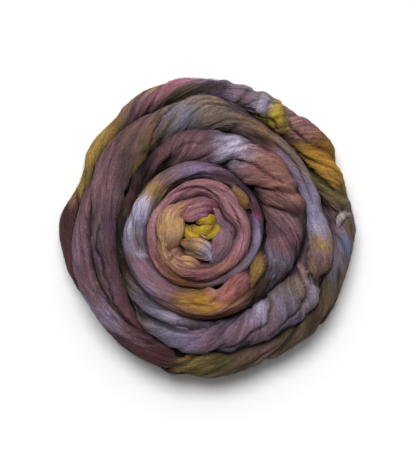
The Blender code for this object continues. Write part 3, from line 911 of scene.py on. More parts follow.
stains += [
    Stain(1050, 70.4, 4.2, 5.1, "blue"),
    Stain(1060, 78, 6.8, 4.2, "deep maroon"),
    Stain(1040, 71.8, 6.8, 5.1, "umber"),
    Stain(1049, 77, 5.1, 4.2, "plum"),
    Stain(1018, 71.1, 8.5, 6, "brown"),
    Stain(1028, 71.4, 6.8, 5.1, "umber"),
    Stain(807, 51.1, 10.2, 5.1, "violet"),
    Stain(821, 51, 10.2, 5.1, "violet"),
    Stain(842, 55, 11.9, 5.1, "mauve"),
    Stain(791, 49.5, 6.8, 3.4, "plum"),
    Stain(862, 52, 6, 6.8, "old gold"),
    Stain(856, 49.5, 6, 4, "tan"),
    Stain(856, 46, 5, 3, "light tan"),
    Stain(824, 48, 9, 3, "lavender"),
    # Painted shade in these two dark stains, low on the turn's outer side in the gap beside the rope turn.
    Stain(876, 64.5, 10, 3.5, "deep maroon"),
    Stain(890, 66, 9, 3, "deep maroon"),
    Stain(880, 54.3, 6.8, 6.8, "pale lavender"),
    Stain(893, 54, 7.6, 5.1, "lavender"),
    Stain(885, 46.6, 6.8, 3.4, "grey mauve"),
    Stain(906, 63.3, 6.8, 3.4, "blue grey"),
    Stain(910, 54.4, 6.8, 5.1, "grey mauve"),
    Stain(921, 55.4, 3.4, 6, "pale lavender"),
    Stain(929, 62, 7.6, 5.1, "mauve"),
    Stain(942, 54.8, 10.2, 5.1, "mauve"),
    Stain(948, 67.4, 9.3, 4.2, "lavender"),
    Stain(961, 65.1, 10.2, 5.1, "mauve"),
    # Painted shadow in the gaps at the inner edges of this turn and the next.
    Stain(1001, 48, 7, 2.6, "gap shadow"),
    Stain(1068, 54, 8, 2, "gap shadow"),
    Stain(977, 58.6, 8.5, 5.1, "gold"),
    Stain(994, 59.7, 10.2, 5.1, "bright gold"),
    Stain(982, 71.2, 10.2, 3.4, "rose brown"),
    Stain(993, 73.2, 11.9, 2.5, "rose"),
    Stain(999, 73.9, 8.5, 2.5, "maroon"),
    Stain(1013, 58.3, 6.8, 5.1, "salmon"),
    Stain(1030, 52, 9, 4, "salmon"),
    Stain(998, 65.3, 8.5, 3.4, "gold"),
    Stain(1016, 65.4, 5.1, 4.2, "tan brown"),
    Stain(703, 47.1, 11.9, 3.4, "lavender"),
    Stain(684, 43.9, 10.2, 3.4, "grey mauve"),
    Stain(670, 44.6, 8.5, 3.4, "grey mauve"),
    Stain(764, 43.9, 6.8, 3, "gold"),
    Stain(783, 43.7, 6, 2.5, "tan brown"),
    Stain(758, 47.3, 7.6, 4.2, "plum"),
    Stain(741, 48.2, 6, 4.2, "maroon"),
    Stain(734, 47.2, 4.2, 3.4, "crimson"),
    Stain(720, 45, 7.6, 4.2, "violet"),
    Stain(1066, 60.4, 8.5, 3.4, "violet"),
]
sheets += [
    Sheet(  # gold tuft
        [(25, 36.5, 3, 2), (30, 31, 5, 4), (35, 24, 5, 4), (38, 17, 3, 2)],
        2,
        ["tan", "gold", "bright gold", "gold"],
    ),
    Sheet(  # olive tuft
        [(51, -17, 3, 2), (50, -27, 5, 4), (46, -36, 5, 4.5), (43, -43, 4, 3), (41, -49, 2, 1)],
        2,
        ["olive gold", "gold", "yellow", "gold", "old gold"],
    ),
    Sheet(  # salmon lip
        [
            (-2, -47, 2, 2), (6, -53, 4, 3), (13, -56, 5, 4), (23, -52, 6, 5), (32, -45, 6, 6),
            (38, -37, 3, 5),
        ],
        -1,
        ["rose", "rose", "salmon", "salmon", "rose"],
    ),
    # hollow in the salmon lip
    hollow((-3, -43.5, -2, 1), (4, -46, -6, 3), (11, -48, -9, 5.5), (17, -46, -6, 3), (22, -43.5, -2, 1)),
    Sheet(  # rope fold low
        [(60, 8, 2, 6), (64, -4, 5, 10), (65.5, -15, 6, 12), (64.5, -27, 5, 11), (63, -38, 1, 7)],
        2,
        ["rose brown", "plum", "mauve brown", "blue grey", "mauve brown"],
    ),
]
lay_turn("smooth_turn", 615, 1058)


# ---- The rope turn and the pale turn ----
# One turn that is first twisted hard, so that it lies in slanting folds like a rope's, in rose brown and
# plum, then thin and dark, and at last broad, loose and pale lavender, pressed into lumps and creases.
chart(edge_radii, 1140, STATION_STEP, (83, 82.5, 76.5, 73, 75, 80, 92, 102, 107, 109.5, 103.5, 101))
edge_trims.update({1215: 0, 1240: -2.5, 1262: -3.4, 1282: -2.5, 1305: 0})
crest_heights.update({1180: 49, 1270: 38, 1350: 46, 1440: 44})
fibre_slopes.update({1070: 0.6, 1190: 0.7, 1240: 0.25, 1340: 0.3, 1365: 0.85, 1410: 0.9})
grounds.update({
    1058: "mauve brown", 1080: "mauve brown", 1100: "mauve brown", 1115: "mauve brown", 1130: "rose brown",
    1150: "pale lavender", 1165: "mauve brown", 1190: "mauve brown", 1200: "umber", 1228: "umber",
    1245: "mauve brown", 1270: "dark olive", 1295: "mauve brown", 1320: "grey mauve", 1345: "slate",
    1420: "grey mauve",
})
strokes += [
    Fold(1065, 77.3, 1097, 78.2, 1.7, 6, 3, 1),
    Fold(1072, 69.7, 1106, 56.9, 2.5, 7.6, 3.5, 0),
    Fold(1088, 85.8, 1120, 56.1, 3.4, 5.1, 4.5, 1),
    Fold(1102, 84.1, 1131, 56.1, 3.4, 4.7, 4.5, 1),
    Fold(1118, 85.8, 1140, 57.8, 2.5, 6, 5, 1),
    Fold(1132, 85, 1149, 58.6, 2.5, 4.2, 4, 1),
    Fold(1142, 83.3, 1159, 59.5, 2.5, 6.8, 4.5, -1),
    Fold(1158, 82.5, 1181, 59.5, 2.5, 6.8, 4, 1),
    Fold(1173, 83.3, 1198, 61.2, 3.4, 6.8, 4.5, 1),
    Fold(1192, 76.5, 1232, 68, 1.7, 6, 3.5, -1),
    Fold(1202, 66.3, 1240, 62.9, 0, 4.2, 2, 0),
    Fold(1230, 68.8, 1284, 71.4, 1.7, 4.2, 2.5, 1),
    Crease(1118, 55, 1125, 55, 3.5, 9),
    Crease(1080, 52.5, 1090, 52.5, 2.5, 6),
    Crease(1155, 57, 1175, 57, 2.2, 6),
    Crease(1188, 76.5, 1199, 61.2, 1.2, 4),
    Fold(1288, 74, 1348, 77.3, 0, 4.2, 3, 1),
    Fold(1302, 82.5, 1344, 93.5, 2.5, 6, 3, 1),
    Fold(1320, 87.5, 1342, 91.8, 0, 3.4, 1.5, 0),
    Fold(1336, 100.3, 1364, 78.2, 3.4, 5.1, 4, -1),
    Fold(1348, 99.5, 1368, 81.6, 2.5, 4.2, 3, 0),
    Fold(1359, 103.7, 1380, 79, 2.5, 4.2, 3.5, 1),
    Fold(1374, 105.4, 1388, 78.2, 4.2, 6, 5, -1),
    Fold(1385, 105.4, 1398, 81.6, 2.5, 4.2, 3.5, 1),
    Fold(1394, 108, 1406, 84.1, 1.7, 5.1, 4.5, 1),
    Fold(1401, 109.6, 1416, 89.2, 0.8, 4.2, 4, 1),
    Fold(1406, 108, 1423, 84.1, 1.7, 2.5, 2.5, -1),
    Fold(1416, 98.6, 1434, 99.5, 4.2, 7.6, 4.5, 1),
]
stains += [
    Stain(1289, 73.8, 8.5, 4.2, "umber"),
    Stain(1301, 77.7, 8.5, 4.2, "taupe"),
    Stain(1312, 79.3, 10.2, 3.4, "grey mauve"),
    Stain(1319, 75.1, 10.2, 1.7, "deep maroon"),
    Stain(1334, 75.1, 13.6, 1.7, "crimson"),
    Stain(1337, 80.2, 11.9, 3.4, "mauve"),
    Stain(1323, 80.2, 10.2, 3.4, "grey mauve"),
    Stain(1310, 90.4, 8.5, 3.4, "blue grey"),
    Stain(1319, 91.8, 8.5, 4.2, "slate"),
    Stain(1324, 93.5, 7.6, 3.4, "grey mauve"),
    Stain(1336, 95.5, 10.2, 5.1, "violet"),
    Stain(1350, 86.7, 11.9, 6.8, "violet"),
    Stain(1354, 80.1, 6.8, 4.2, "lavender"),
    Stain(1354, 92.9, 10.2, 4.2, "plum"),
    Stain(1359, 100.8, 8.5, 3.4, "grey mauve"),
    Stain(1367, 84.4, 10.2, 6, "violet"),
    Stain(1370, 95.2, 8.5, 5.1, "violet"),
    Stain(1379, 88.3, 10.2, 5.1, "mauve"),
    Stain(1388, 82.3, 5.1, 6, "pale lavender"),
    Stain(1385, 87.9, 4.2, 4.2, "pale lavender"),
    Stain(1387, 100.1, 10.2, 5.1, "mauve"),
    Stain(1394, 96.2, 6.8, 6, "lavender"),
    Stain(1402, 94.4, 6.8, 6, "lavender"),
    Stain(1408, 92, 8.5, 6.8, "grey mauve"),
    Stain(1410, 100.9, 6.8, 3.4, "grey mauve"),
    Stain(1418, 91.1, 7.6, 2.5, "mauve"),
    Stain(1401, 102.2, 6.8, 3.4, "grey mauve"),
    Stain(1193, 75.5, 8.5, 6.8, "brown"),
    Stain(1184, 79.6, 10.2, 5.1, "mauve brown"),
    Stain(1174, 68.2, 8.5, 6, "plum"),
    Stain(1208, 67.2, 10.2, 5.1, "deep maroon"),
    Stain(1235, 68.5, 11.9, 5.1, "deep maroon"),
    Stain(1222, 66, 6.8, 3.4, "maroon"),
    # Painted shadow in the gap along the rope turn's outer edge.
    Stain(1212, 73, 12, 3, "gap shadow"),
    Stain(1247, 68.9, 8.5, 3.4, "dark olive"),
    Stain(1254, 66.6, 6.8, 3.4, "umber"),
    # Painted shadow in the gap along the rope turn's outer edge.
    Stain(1246, 71, 12, 4, "gap shadow"),
    Stain(1262, 72, 18, 6, "gap shadow"),
    Stain(1277, 75, 14, 4, "gap shadow"),
    Stain(1169, 76.5, 8.5, 4.2, "mauve brown"),
    Stain(1155, 81, 7.6, 3.4, "lavender"),
    Stain(1147, 75.5, 7.6, 3.4, "pale lavender"),
    Stain(1141, 76.1, 6.8, 3.4, "mauve"),
    Stain(1152, 61.8, 8.5, 4.2, "grey mauve"),
    Stain(1163, 66.8, 6.8, 5.1, "mauve brown"),
    Stain(1132, 82.3, 8.5, 4.2, "rose brown"),
    # Painted shadow in the gap along the rope turn's outer edge, in these four near-black stains.
    Stain(1150, 85.5, 12, 3.4, "gap shadow"),
    Stain(1168, 83.5, 12, 3.4, "gap shadow"),
    Stain(1180, 82.5, 10, 3.4, "gap shadow"),
    Stain(1350, 97.5, 14, 2.6, "gap shadow"),
    Stain(1123, 84.2, 8.5, 4.2, "rose brown"),
    Stain(1128, 71, 10.2, 4.2, "rose"),
    Stain(1114, 83.2, 10.2, 5.1, "rose brown"),
    Stain(1113, 71.9, 10.2, 4.2, "rose brown"),
    Stain(1098, 82.3, 8.5, 6, "rose brown"),
    Stain(1106, 59.7, 10.2, 5.1, "brown"),
    Stain(1089, 69.7, 10.2, 6, "mauve"),
    Stain(1083, 58.7, 8.5, 5.1, "plum"),
    Stain(1081, 74.8, 8.5, 5, "mauve rose"),
    Stain(1072, 69.6, 8.5, 6, "rose"),
    Stain(1069, 75.3, 6.8, 4.2, "maroon"),
    Stain(1424, 94.5, 7.6, 6, "mauve brown"),
    Stain(1419, 100.9, 5.1, 4.2, "tan brown"),
]
sheets += [
    Sheet(  # rope fold dark
        [(-45.5, 49.9, 1, 3), (-37, 62.2, 4, 5), (-25.5, 73, 5, 6), (-11.6, 78.8, 5, 6), (2.2, 77.9, 3, 5)],
        1,
        ["plum", "mauve brown", "mauve brown", "plum"],
    ),
    Sheet(  # rope fold plum
        [
            (-30.1, 51.4, 2, 3), (-22.4, 62.2, 5, 6), (-10.1, 69.9, 6, 7), (5.3, 74.2, 5, 7),
            (17.6, 76.8, 3, 6),
        ],
        1,
        ["umber", "mauve brown", "mauve rose", "mauve brown", "blue grey"],
    ),
    Sheet(  # rope fold brown
        [(-18.6, 53.7, 2, 4), (-8.6, 59.4, 5, 6), (5.3, 63.7, 6, 7), (19.1, 68.3, 4, 6)],
        1,
        ["maroon", "mauve brown", "mauve rose", "pale lavender"],
    ),
    Sheet(  # rope fold blue
        [(5.9, 58.4, 2, 4), (16.6, 65, 5, 6), (27.4, 67.5, 6, 6.5), (38.2, 62.5, 4, 6)],
        1,
        ["mauve brown", "lavender", "pale lavender", "rose brown"],
    ),
    Sheet(  # rope fold tan
        [(47.4, 27, 2, 4), (56, 17, 4, 6), (62, 5, 5, 7), (64, -7, 3, 6)],
        1,
        ["tan brown", "rose brown", "plum", "mauve brown"],
    ),
    Sheet(  # rope fold under
        [(47.4, 30.7, 2, 4), (59.7, 27.6, 5, 6), (75.1, 21.5, 6, 7), (82, 13.9, 3, 5)],
        1,
        ["tan brown", "rose brown", "rose brown", "umber"],
    ),
    Sheet(  # rope fold wide
        [
            (19.7, 55.3, 2, 4), (35.1, 49.2, 5, 6), (50.5, 44.6, 6, 7), (65.8, 39.9, 7, 7),
            (78.1, 35.3, 4, 6),
        ],
        1,
        ["grey mauve", "mauve brown", "rose brown", "rose brown", "rose brown"],
    ),
    Sheet(  # rope fold rose
        [(29, 65, 2, 4), (42, 62, 5, 6), (55, 55.5, 6, 7), (65, 47, 5, 6), (70, 40, 2, 4)],
        1,
        ["pale lavender", "rose brown", "rose brown", "rose brown"],
    ),
    Sheet(  # pale sheet lower
        [
            (-60.5, -64.5, 1, 4), (-51.6, -75.3, 5, 7), (-37.8, -85.7, 6, 9), (-20.9, -91.4, 6, 9),
            (-4, -92.5, 5, 9), (14.5, -89.1, 3, 7),
        ],
        2,
        ["slate", "taupe", "blue grey", "lavender", "mauve", "mauve"],
    ),
    Sheet(  # pale sheet upper
        [
            (-64.2, -39.9, 1, 3), (-55, -55, 4, 5), (-41.2, -66.8, 5, 7), (-23.9, -74, 5, 7),
            (-7, -75.7, 4, 6), (8.3, -74, 2, 5),
        ],
        1,
        ["dark olive", "slate", "blue grey", "pale lavender", "mauve rose", "mauve"],
    ),
    # crease between the pale sheets
    hollow(
        (-66, -50, -0.5, 1), (-62.4, -58.3, -3, 1.5), (-50.1, -70.6, -4.5, 1.8), (-31.6, -79.9, -4.5, 1.8),
        (-16.3, -86, -3, 1.5), (-2.4, -83, -0.5, 1),
    ),
    # crease in the rope
    hollow((-33, 53, -3, 1.5), (-30, 58, -4, 1.6), (-22.4, 64.5, -3, 1.4), (-14, 74, -0.5, 1)),
    Sheet(  # pale lump
        [
            (79.7, -36.8, 2, 7), (76.2, -47.6, 6, 11), (69, -59.9, 7, 13), (59, -72.2, 7, 12),
            (46.7, -83, 5, 10), (34.4, -90.6, 2, 7),
        ],
        2,
        ["tan brown", "taupe", "grey mauve", "grey mauve", "mauve", "mauve rose"],
    ),
    Sheet(  # pale ridge
        [
            (59, -59.9, 1, 5), (51.6, -64.5, 5, 8), (45.1, -73, 6, 8), (34.4, -81.4, 6, 7),
            (25.1, -89.1, 5, 6), (16.7, -94.5, 2, 4),
        ],
        -1,
        ["grey mauve", "pale lavender", "lavender", "mauve rose", "mauve rose", "mauve"],
    ),
    Sheet(  # pale hem
        [
            (81.7, -29.1, 2, 2), (88.2, -42.2, 5, 4), (91.2, -50.7, 6, 5), (88.2, -62.2, 6, 5),
            (78.9, -73.7, 5, 5), (68.2, -81.4, 4, 4), (55.9, -89.1, 2, 3),
        ],
        2,
        ["tan", "taupe", "pale lavender", "grey mauve", "lavender", "blue grey", "mauve"],
    ),
    # hollow under the strip end
    hollow((87, -37, -2, 1.5), (92, -42.5, -8, 2.5), (95, -47, -2, 1.5)),
    Sheet(  # strip end
        [
            (94.6, 13.9, 2, 6), (97.7, -1.5, 5, 8), (99.6, -13.8, 6, 9), (97.4, -26.1, 6, 10),
            (93.1, -36.1, 3, 6),
        ],
        2,
        ["lavender", "lavender", "old gold", "mauve rose", "tan"],
    ),
]
lay_turn("rope_turn", 1058, 1420)


# ---- The second turn ----
# Two thirds of a turn, from a round lobe over the end of the pale stretch by lavender and blue grey to mauve.
# The doubled strand shows here as two lengths that lie side by side, with a long crease between them.
chart(edge_radii, 1500, STATION_STEP, (103, 111.5, 107, 105, 104, 114.5, 121.5, 126, 125, 128.5, 129, 131.5))
edge_trims.update({1640: 0, 1650: -0.4, 1656: -1.6})
crest_heights.update({1560: 44, 1660: 42, 1740: 36})
fibre_slopes.update({1435: 0.2, 1500: 0.2, 1520: 0.5, 1570: 0.5, 1590: 0.15})
grounds.update({
    1420: "mauve brown", 1440: "lavender", 1475: "mauve", 1495: "brown", 1515: "grey mauve",
    1545: "blue grey", 1560: "mauve brown", 1580: "mauve brown", 1655: "mauve brown", 1672: "maroon",
})
strokes += [
    Fold(1426, 100.3, 1444, 95.2, 2.5, 6, 4, -1),
    Fold(1440, 95.2, 1504, 83.3, 1.7, 6, 3.5, -1),
    Fold(1452, 99.5, 1494, 99.5, 0, 4.2, 2.5, -1),
    Fold(1496, 100.3, 1511, 89.2, 2.5, 6, 4, 1),
    Fold(1513, 108, 1543, 105.4, 0.8, 4.7, 3, -1),
    Fold(1517, 100.3, 1531, 85, 2.5, 7.6, 3.5, 1),
    Fold(1526, 102, 1538, 85.8, 1.7, 5.1, 3, 1),
    Fold(1536, 102.8, 1545, 85, 0.8, 5.1, 3.5, -1),
    Fold(1543, 108, 1568, 85, 2.5, 5.1, 4, 1),
    Fold(1553, 99.5, 1578, 74.8, 2.5, 5.5, 4.5, -1),
    Fold(1553, 106.2, 1592, 100.3, 3.4, 6, 3.5, 1),
    Fold(1568, 95.2, 1598, 82.5, 3.4, 6, 3, 1),
    Fold(1582, 81.6, 1616, 74.8, 1.7, 5.1, 2.5, -1),
    Fold(1590, 92.6, 1626, 85.8, 1.7, 8.5, 3.5, 0),
    Fold(1605, 96, 1653, 109.6, 2.5, 5.5, 4.5, -1),
    Fold(1618, 85.8, 1666, 92.6, 3.4, 11, 5, -1),
    Fold(1626, 76.5, 1662, 87.5, 3.4, 4.2, 2, 0),
    Crease(1543, 100, 1558, 82.5, 1.4, 4),
    Crease(1640, 71.5, 1647, 71.5, 2.5, 8),
    Crease(1512, 95, 1515, 85, 1.2, 3),
    Fold(1653, 110.5, 1687, 99.5, 1.7, 5.1, 4, 1),
    Fold(1658, 115.6, 1698, 113.9, 2.5, 7.6, 4, 1),
]
stains += [
    Stain(1630, 103.6, 11.9, 3.4, "violet"),
    Stain(1642, 108.3, 11.9, 3.4, "mauve"),
    Stain(1657, 112.4, 11.9, 3, "pale lavender"),
    Stain(1650, 110.4, 8.5, 2.5, "lavender"),
    Stain(1634, 93, 10.2, 5.1, "plum"),
    # Painted shadow in the crease between the two lengths.
    Stain(1640, 97.6, 8.5, 2.5, "gap shadow"),
    Stain(1641, 85.9, 11.9, 6, "plum"),
    Stain(1651, 84.3, 8.5, 3.4, "rose brown"),
    Stain(1655, 93.4, 10.2, 5.1, "plum"),
    Stain(1659, 101.6, 8.5, 3.4, "mauve brown"),
    Stain(1533, 108.9, 17, 3.8, "tan"),
    Stain(1524, 107.7, 11.9, 3.4, "tan"),
    Stain(1545, 108, 10.2, 3.4, "tan"),
    Stain(1552, 107.5, 8.5, 3.4, "tan brown"),
    Stain(1541, 96.2, 7.6, 5.1, "blue grey"),
    Stain(1539, 88.7, 7.6, 3.4, "blue"),
    Stain(1530, 96, 10.2, 6.8, "taupe"),
    Stain(1521, 94.7, 10.2, 6, "taupe"),
    Stain(1548, 94.9, 6, 3.4, "slate"),
    Stain(1554, 99.7, 8.5, 3.4, "tan brown"),
    Stain(1563, 103.3, 11.9, 3.4, "rose"),
    Stain(1572, 104.7, 10.2, 3.4, "rose"),
    Stain(1581, 104.5, 10.2, 3.4, "rose"),
    Stain(1555, 87.1, 6.8, 2.5, "plum"),
    # Painted shadow along the turn's inner edge, in the gap beside the rope turn, in these three dark stains.
    Stain(1573, 74, 12, 3.6, "gap shadow"),
    Stain(1590, 71, 12, 3.4, "umber"),
    Stain(1606, 70, 10, 3, "dark olive"),
    Stain(1569, 85.8, 8.5, 4.2, "olive gold"),
    Stain(1575, 79.3, 7.6, 4.2, "olive"),
    Stain(1561, 89.7, 6.8, 2.5, "tan brown"),
    Stain(1574, 96.2, 10.2, 4.2, "brown"),
    # Painted shadow in these five dark stains: in the gap along the turn's inner edge, and the last along its
    # outer side.
    Stain(1513, 85, 12, 3.4, "gap shadow"),
    Stain(1530, 83.5, 12, 3.4, "gap shadow"),
    Stain(1542, 82.5, 10, 3.4, "gap shadow"),
    Stain(1598, 65.5, 14, 4, "deep maroon"),
    Stain(1460, 102, 14, 3.5, "umber"),
    Stain(1453, 98.5, 10, 3.5, "grey mauve"),
    Stain(1440, 96, 10, 4, "grey mauve"),
    Stain(1580, 82.7, 8.5, 4.2, "brown"),
    Stain(1583, 92.3, 8.5, 3.4, "mauve brown"),
    Stain(1594, 97.3, 11.9, 5.1, "mauve"),
    Stain(1597, 83.4, 11.9, 5.1, "grey mauve"),
    Stain(1610, 88, 11.9, 4.2, "grey mauve"),
    Stain(1612, 75.6, 10.2, 5.1, "plum"),
    Stain(1619, 72.3, 8.5, 4.2, "plum"),
    Stain(1623, 89.4, 10.2, 3.4, "grey mauve"),
    Stain(1623, 80.9, 10.2, 5.1, "plum"),
    Stain(1509, 100.1, 7.6, 6, "tan brown"),
    Stain(1497, 97.9, 8.5, 6, "tan brown"),
    Stain(1512, 91.9, 3.4, 4.2, "umber"),
    Stain(1496, 91.2, 8.5, 3.4, "umber"),
    Stain(1484, 99.8, 10.2, 4.2, "taupe"),
    Stain(1477, 98.3, 10.2, 4.2, "taupe"),
    Stain(1468, 98.1, 10.2, 3.4, "taupe"),
    Stain(1499, 85.4, 7.6, 3, "crimson"),
    Stain(1492, 87.2, 6.8, 3, "crimson"),
    Stain(1484, 90.2, 7.6, 3.4, "violet"),
    Stain(1473, 89.6, 10.2, 4.2, "lavender"),
    Stain(1462, 93.8, 10.2, 5.1, "lavender"),
    Stain(1453, 94, 10.2, 6, "lavender"),
    Stain(1441, 94.4, 7.6, 6, "lavender"),
    Stain(1434, 99.1, 6.8, 4.2, "old gold"),
    Stain(1431, 105.9, 5.1, 3.4, "old gold"),
    Stain(1665, 95.6, 6.8, 4.2, "mauve brown"),
    Stain(1664, 111.8, 10.2, 3.4, "mauve"),
    Stain(1672, 109, 10.2, 3.4, "grey mauve"),
    Stain(1676, 119.3, 11.9, 3.4, "deep maroon"),
    Stain(1429, 89.2, 5.1, 4.2, "brown"),
]
sheets += [
    Sheet(  # sheet left
        [
            (-37.8, 89.9, 1, 6), (-54.7, 76, 4, 11), (-70.1, 57.6, 6, 13), (-79.3, 36, 6, 12),
            (-82.4, 13, 5, 12), (-80.1, -8.5, 3, 10), (-77.8, -23.9, 1, 8),
        ],
        -1,
        ["rose brown", "olive brown", "mauve brown", "mauve rose", "mauve brown", "mauve brown", "plum"],
    ),
    Sheet(  # sheet top
        [
            (29.9, 94.5, 1, 9), (14.5, 97.6, 4, 12), (-0.9, 98.3, 6, 13), (-16.3, 94.5, 6, 11),
            (-30.1, 85.3, 5, 9), (-39.3, 72.2, 3, 6), (-43.9, 62.2, 1, 3),
        ],
        1,
        ["olive brown", "taupe", "taupe", "blue grey", "taupe", "olive brown", "olive"],
    ),
    Sheet(  # olive streak
        [(-47, 68.3, 1, 2), (-53.2, 60.7, 3, 5), (-59.3, 49.9, 3, 6), (-63.9, 39.1, 2, 4)],
        0,
        ["olive", "old gold", "olive", "umber"],
    ),
    # long crease between the strands
    hollow(
        (-97, 17, -0.5, 1), (-96.2, -13.8, -4, 1.8), (-91.6, -44.5, -5, 2.2), (-79.3, -69.1, -4, 1.8),
        (-60.9, -89.1, -3, 1.5), (-40, -96.8, -0.5, 1),
    ),
    # thin crease under the tan ridge
    hollow((-14, 103.5, -0.5, 0.8), (9, 104, -2, 1), (27, 101.4, -2.5, 1), (40, 94, -0.5, 0.8)),
    Sheet(  # inner strand
        [
            (-79.3, 26, 0, 4), (-79.3, 8, 1.5, 7), (-79.3, -10, 4, 9), (-76.2, -27.6, 5, 9),
            (-70.8, -47.6, 5, 9), (-62.4, -66.8, 3, 8), (-50.1, -81.4, 1, 5),
        ],
        1,
        ["mauve brown", "plum", "mauve brown", "mauve brown", "maroon rose", "mauve brown"],
    ),
    Sheet(  # outer strand
        [
            (-95.5, 37, 1, 4), (-99.3, 21.6, 4, 6), (-102.1, 3.2, 6, 7), (-101.6, -15.3, 7, 7),
            (-98.5, -35.3, 7, 7), (-91.6, -53.7, 6, 7), (-80.8, -70.6, 5, 6), (-67, -84.5, 4, 6),
            (-48.6, -95.3, 1, 4),
        ],
        -1,
        [
            "mauve brown", "mauve rose", "mauve", "mauve", "mauve rose", "grey mauve", "lavender",
            "mauve brown", "plum",
        ],
    ),
]
lay_turn("second_turn", 1420, 1655)


# ---- The outermost turn ----
# The strand's last turn, brushed looser, in maroon, olive and gold. Its wool has come up in folds, soft tufts
# and a pale wisp along its far side, and its tapered end is tucked in at the side.
chart(edge_radii, 1860, STATION_STEP, (126.5, 129, 126, 115.5, 122.5, 119, 110, 110, 110, 110, 110, 110))
crest_heights.update({1860: 37, 1950: 33, 2010: 26})
edge_trims.update({
    1665: -2.4, 1680: -2.6, 1690: -3.8, 1698: -1.4, 1702: -3.0, 1712: -2.6, 1725: -4.0, 1735: -4.2,
    1741: -2.0, 1750: -2.6, 1760: 0.4, 1770: 0, 1780: -2.4, 1790: -1.4, 1800: 0.8, 1810: -3.4,
    1825: -7.0, 1830: -4.2, 1836: 1.0, 1841: -1.8, 1850: -3.8, 1860: -1.4, 1866: -0.2, 1876: -1.8,
    1886: -0.8, 1905: -1.4, 1916: -0.4, 1920: -3.0, 1926: -4.6, 1931: -4.2, 1942: -0.6, 1948: -0.2,
    1954: -2.6, 1958: -5.2, 1965: -3.8, 1975: -1.4, 1990: -2.6, 1998: -0.6, 2003: -2.6, 2008: 1,
})
fibre_slopes.update({
    1690: 0.15, 1710: 0.35, 1800: 0.4, 1820: 0.7, 1850: 0.9, 1875: 0.3, 1905: 0.45, 1960: 0.3, 1985: 0.1,
})
grounds.update({
    1695: "maroon", 1705: "olive", 1720: "olive brown", 1735: "olive brown", 1755: "olive brown",
    1765: "olive brown", 1778: "olive brown", 1795: "grey mauve", 1805: "grey mauve", 1815: "olive",
    1835: "gold", 1848: "mauve rose", 1858: "olive", 1868: "taupe", 1885: "violet", 1895: "olive brown",
    1910: "olive brown", 1920: "mauve brown", 1935: "old gold", 1960: "old gold", 1970: "maroon",
    2008: "maroon",
})
strokes += [
    Fold(1675, 107.1, 1696, 103.7, 0, 5.1, 2, 0),
    Fold(1696, 123.2, 1717, 106.2, -2.5, 5.5, 4, -1),
    Fold(1702, 108.8, 1722, 105.4, 0.8, 5.1, 2.5, 0),
    Fold(1704, 120.7, 1736, 119, 3.4, 6.8, 3.5, 1),
    Fold(1721, 113, 1746, 110.5, 0.8, 6.8, 3, 1),
    Fold(1730, 125, 1744, 111.3, 0.8, 3.4, 2.5, 0),
    Fold(1740, 123.2, 1763, 115.6, 2.5, 6.8, 3.5, -1),
    Fold(1746, 113.9, 1762, 108.8, 0, 5.1, 2.5, 0),
    Fold(1752, 125, 1774, 119.8, 1.7, 5.1, 2.5, 0),
    Fold(1761, 120.7, 1786, 112.2, 2.5, 6.8, 3.5, 1),
    Fold(1764, 108, 1778, 103.7, 0, 4.2, 2, 0),
    Fold(1780, 124.1, 1797, 108.8, 1.7, 6, 3, 1),
    Fold(1790, 126.6, 1802, 108.8, 1.7, 5.1, 3, 0),
    Fold(1802, 127.5, 1810, 102.8, 0, 5.1, 2.5, 0),
    Fold(1809, 126.6, 1817, 102, 0, 4.2, 2.5, 1),
    Fold(1815, 125.8, 1825, 102.8, 0, 5.5, 3, -1),
    Fold(1819, 125, 1842, 103.7, 1.7, 5.1, 3, 1),
    Fold(1829, 127.5, 1844, 102.8, 3.4, 5.1, 3.5, -1),
    Fold(1831, 130.9, 1838, 120.7, 0, 5.1, 2.5, 0),
    Fold(1844, 126.6, 1850, 111.3, 1.7, 7.6, 3, 0),
    Fold(1855, 127.5, 1848, 108.8, 1.7, 5.1, 2.5, 1),
    Fold(1861, 126.6, 1851, 106.2, 0.8, 4.2, 3.5, -1),
    Fold(1857, 115.6, 1860, 104.5, 0, 4.2, 2, 0),
    Fold(1865, 126.6, 1863, 108, 0.8, 5.1, 4, 1),
    Fold(1872, 128.3, 1879, 111.3, 0, 4.2, 3, -1),
    Fold(1880, 129.2, 1886, 113.9, 0, 5.1, 3, 0),
    Fold(1886, 127.5, 1892, 113.9, 0, 5.1, 3, 0),
    Fold(1893, 129.2, 1916, 108, 4.2, 4.2, 4, 1),
    Fold(1904, 129.2, 1922, 110.5, 2.5, 5.1, 3, 1),
    Fold(1912, 125.8, 1930, 110.5, 1.7, 6, 3, 1),
    Fold(1918, 124.1, 1952, 108.8, 3.4, 6.8, 3.5, 0),
    Fold(1938, 118.1, 1963, 102.8, 1.7, 5.1, 2.5, 0),
    Fold(1958, 110.5, 1972, 102, 0, 5.1, 2.5, 1),
    Fold(1966, 113.9, 2005, 116.5, -2.5, 7.6, 4, -1),
    Fold(1972, 107.1, 2008, 112.2, -0.8, 4.2, 2, 0),
    Crease(1697, 106.5, 1702, 104.5, 3.5, 12),
    Crease(1868, 119, 1873, 108.8, 1.2, 5),
    Crease(1812, 106, 1817, 101, 1.5, 5),
    Crease(1775, 101, 1778, 104, 2.0, 5),
]
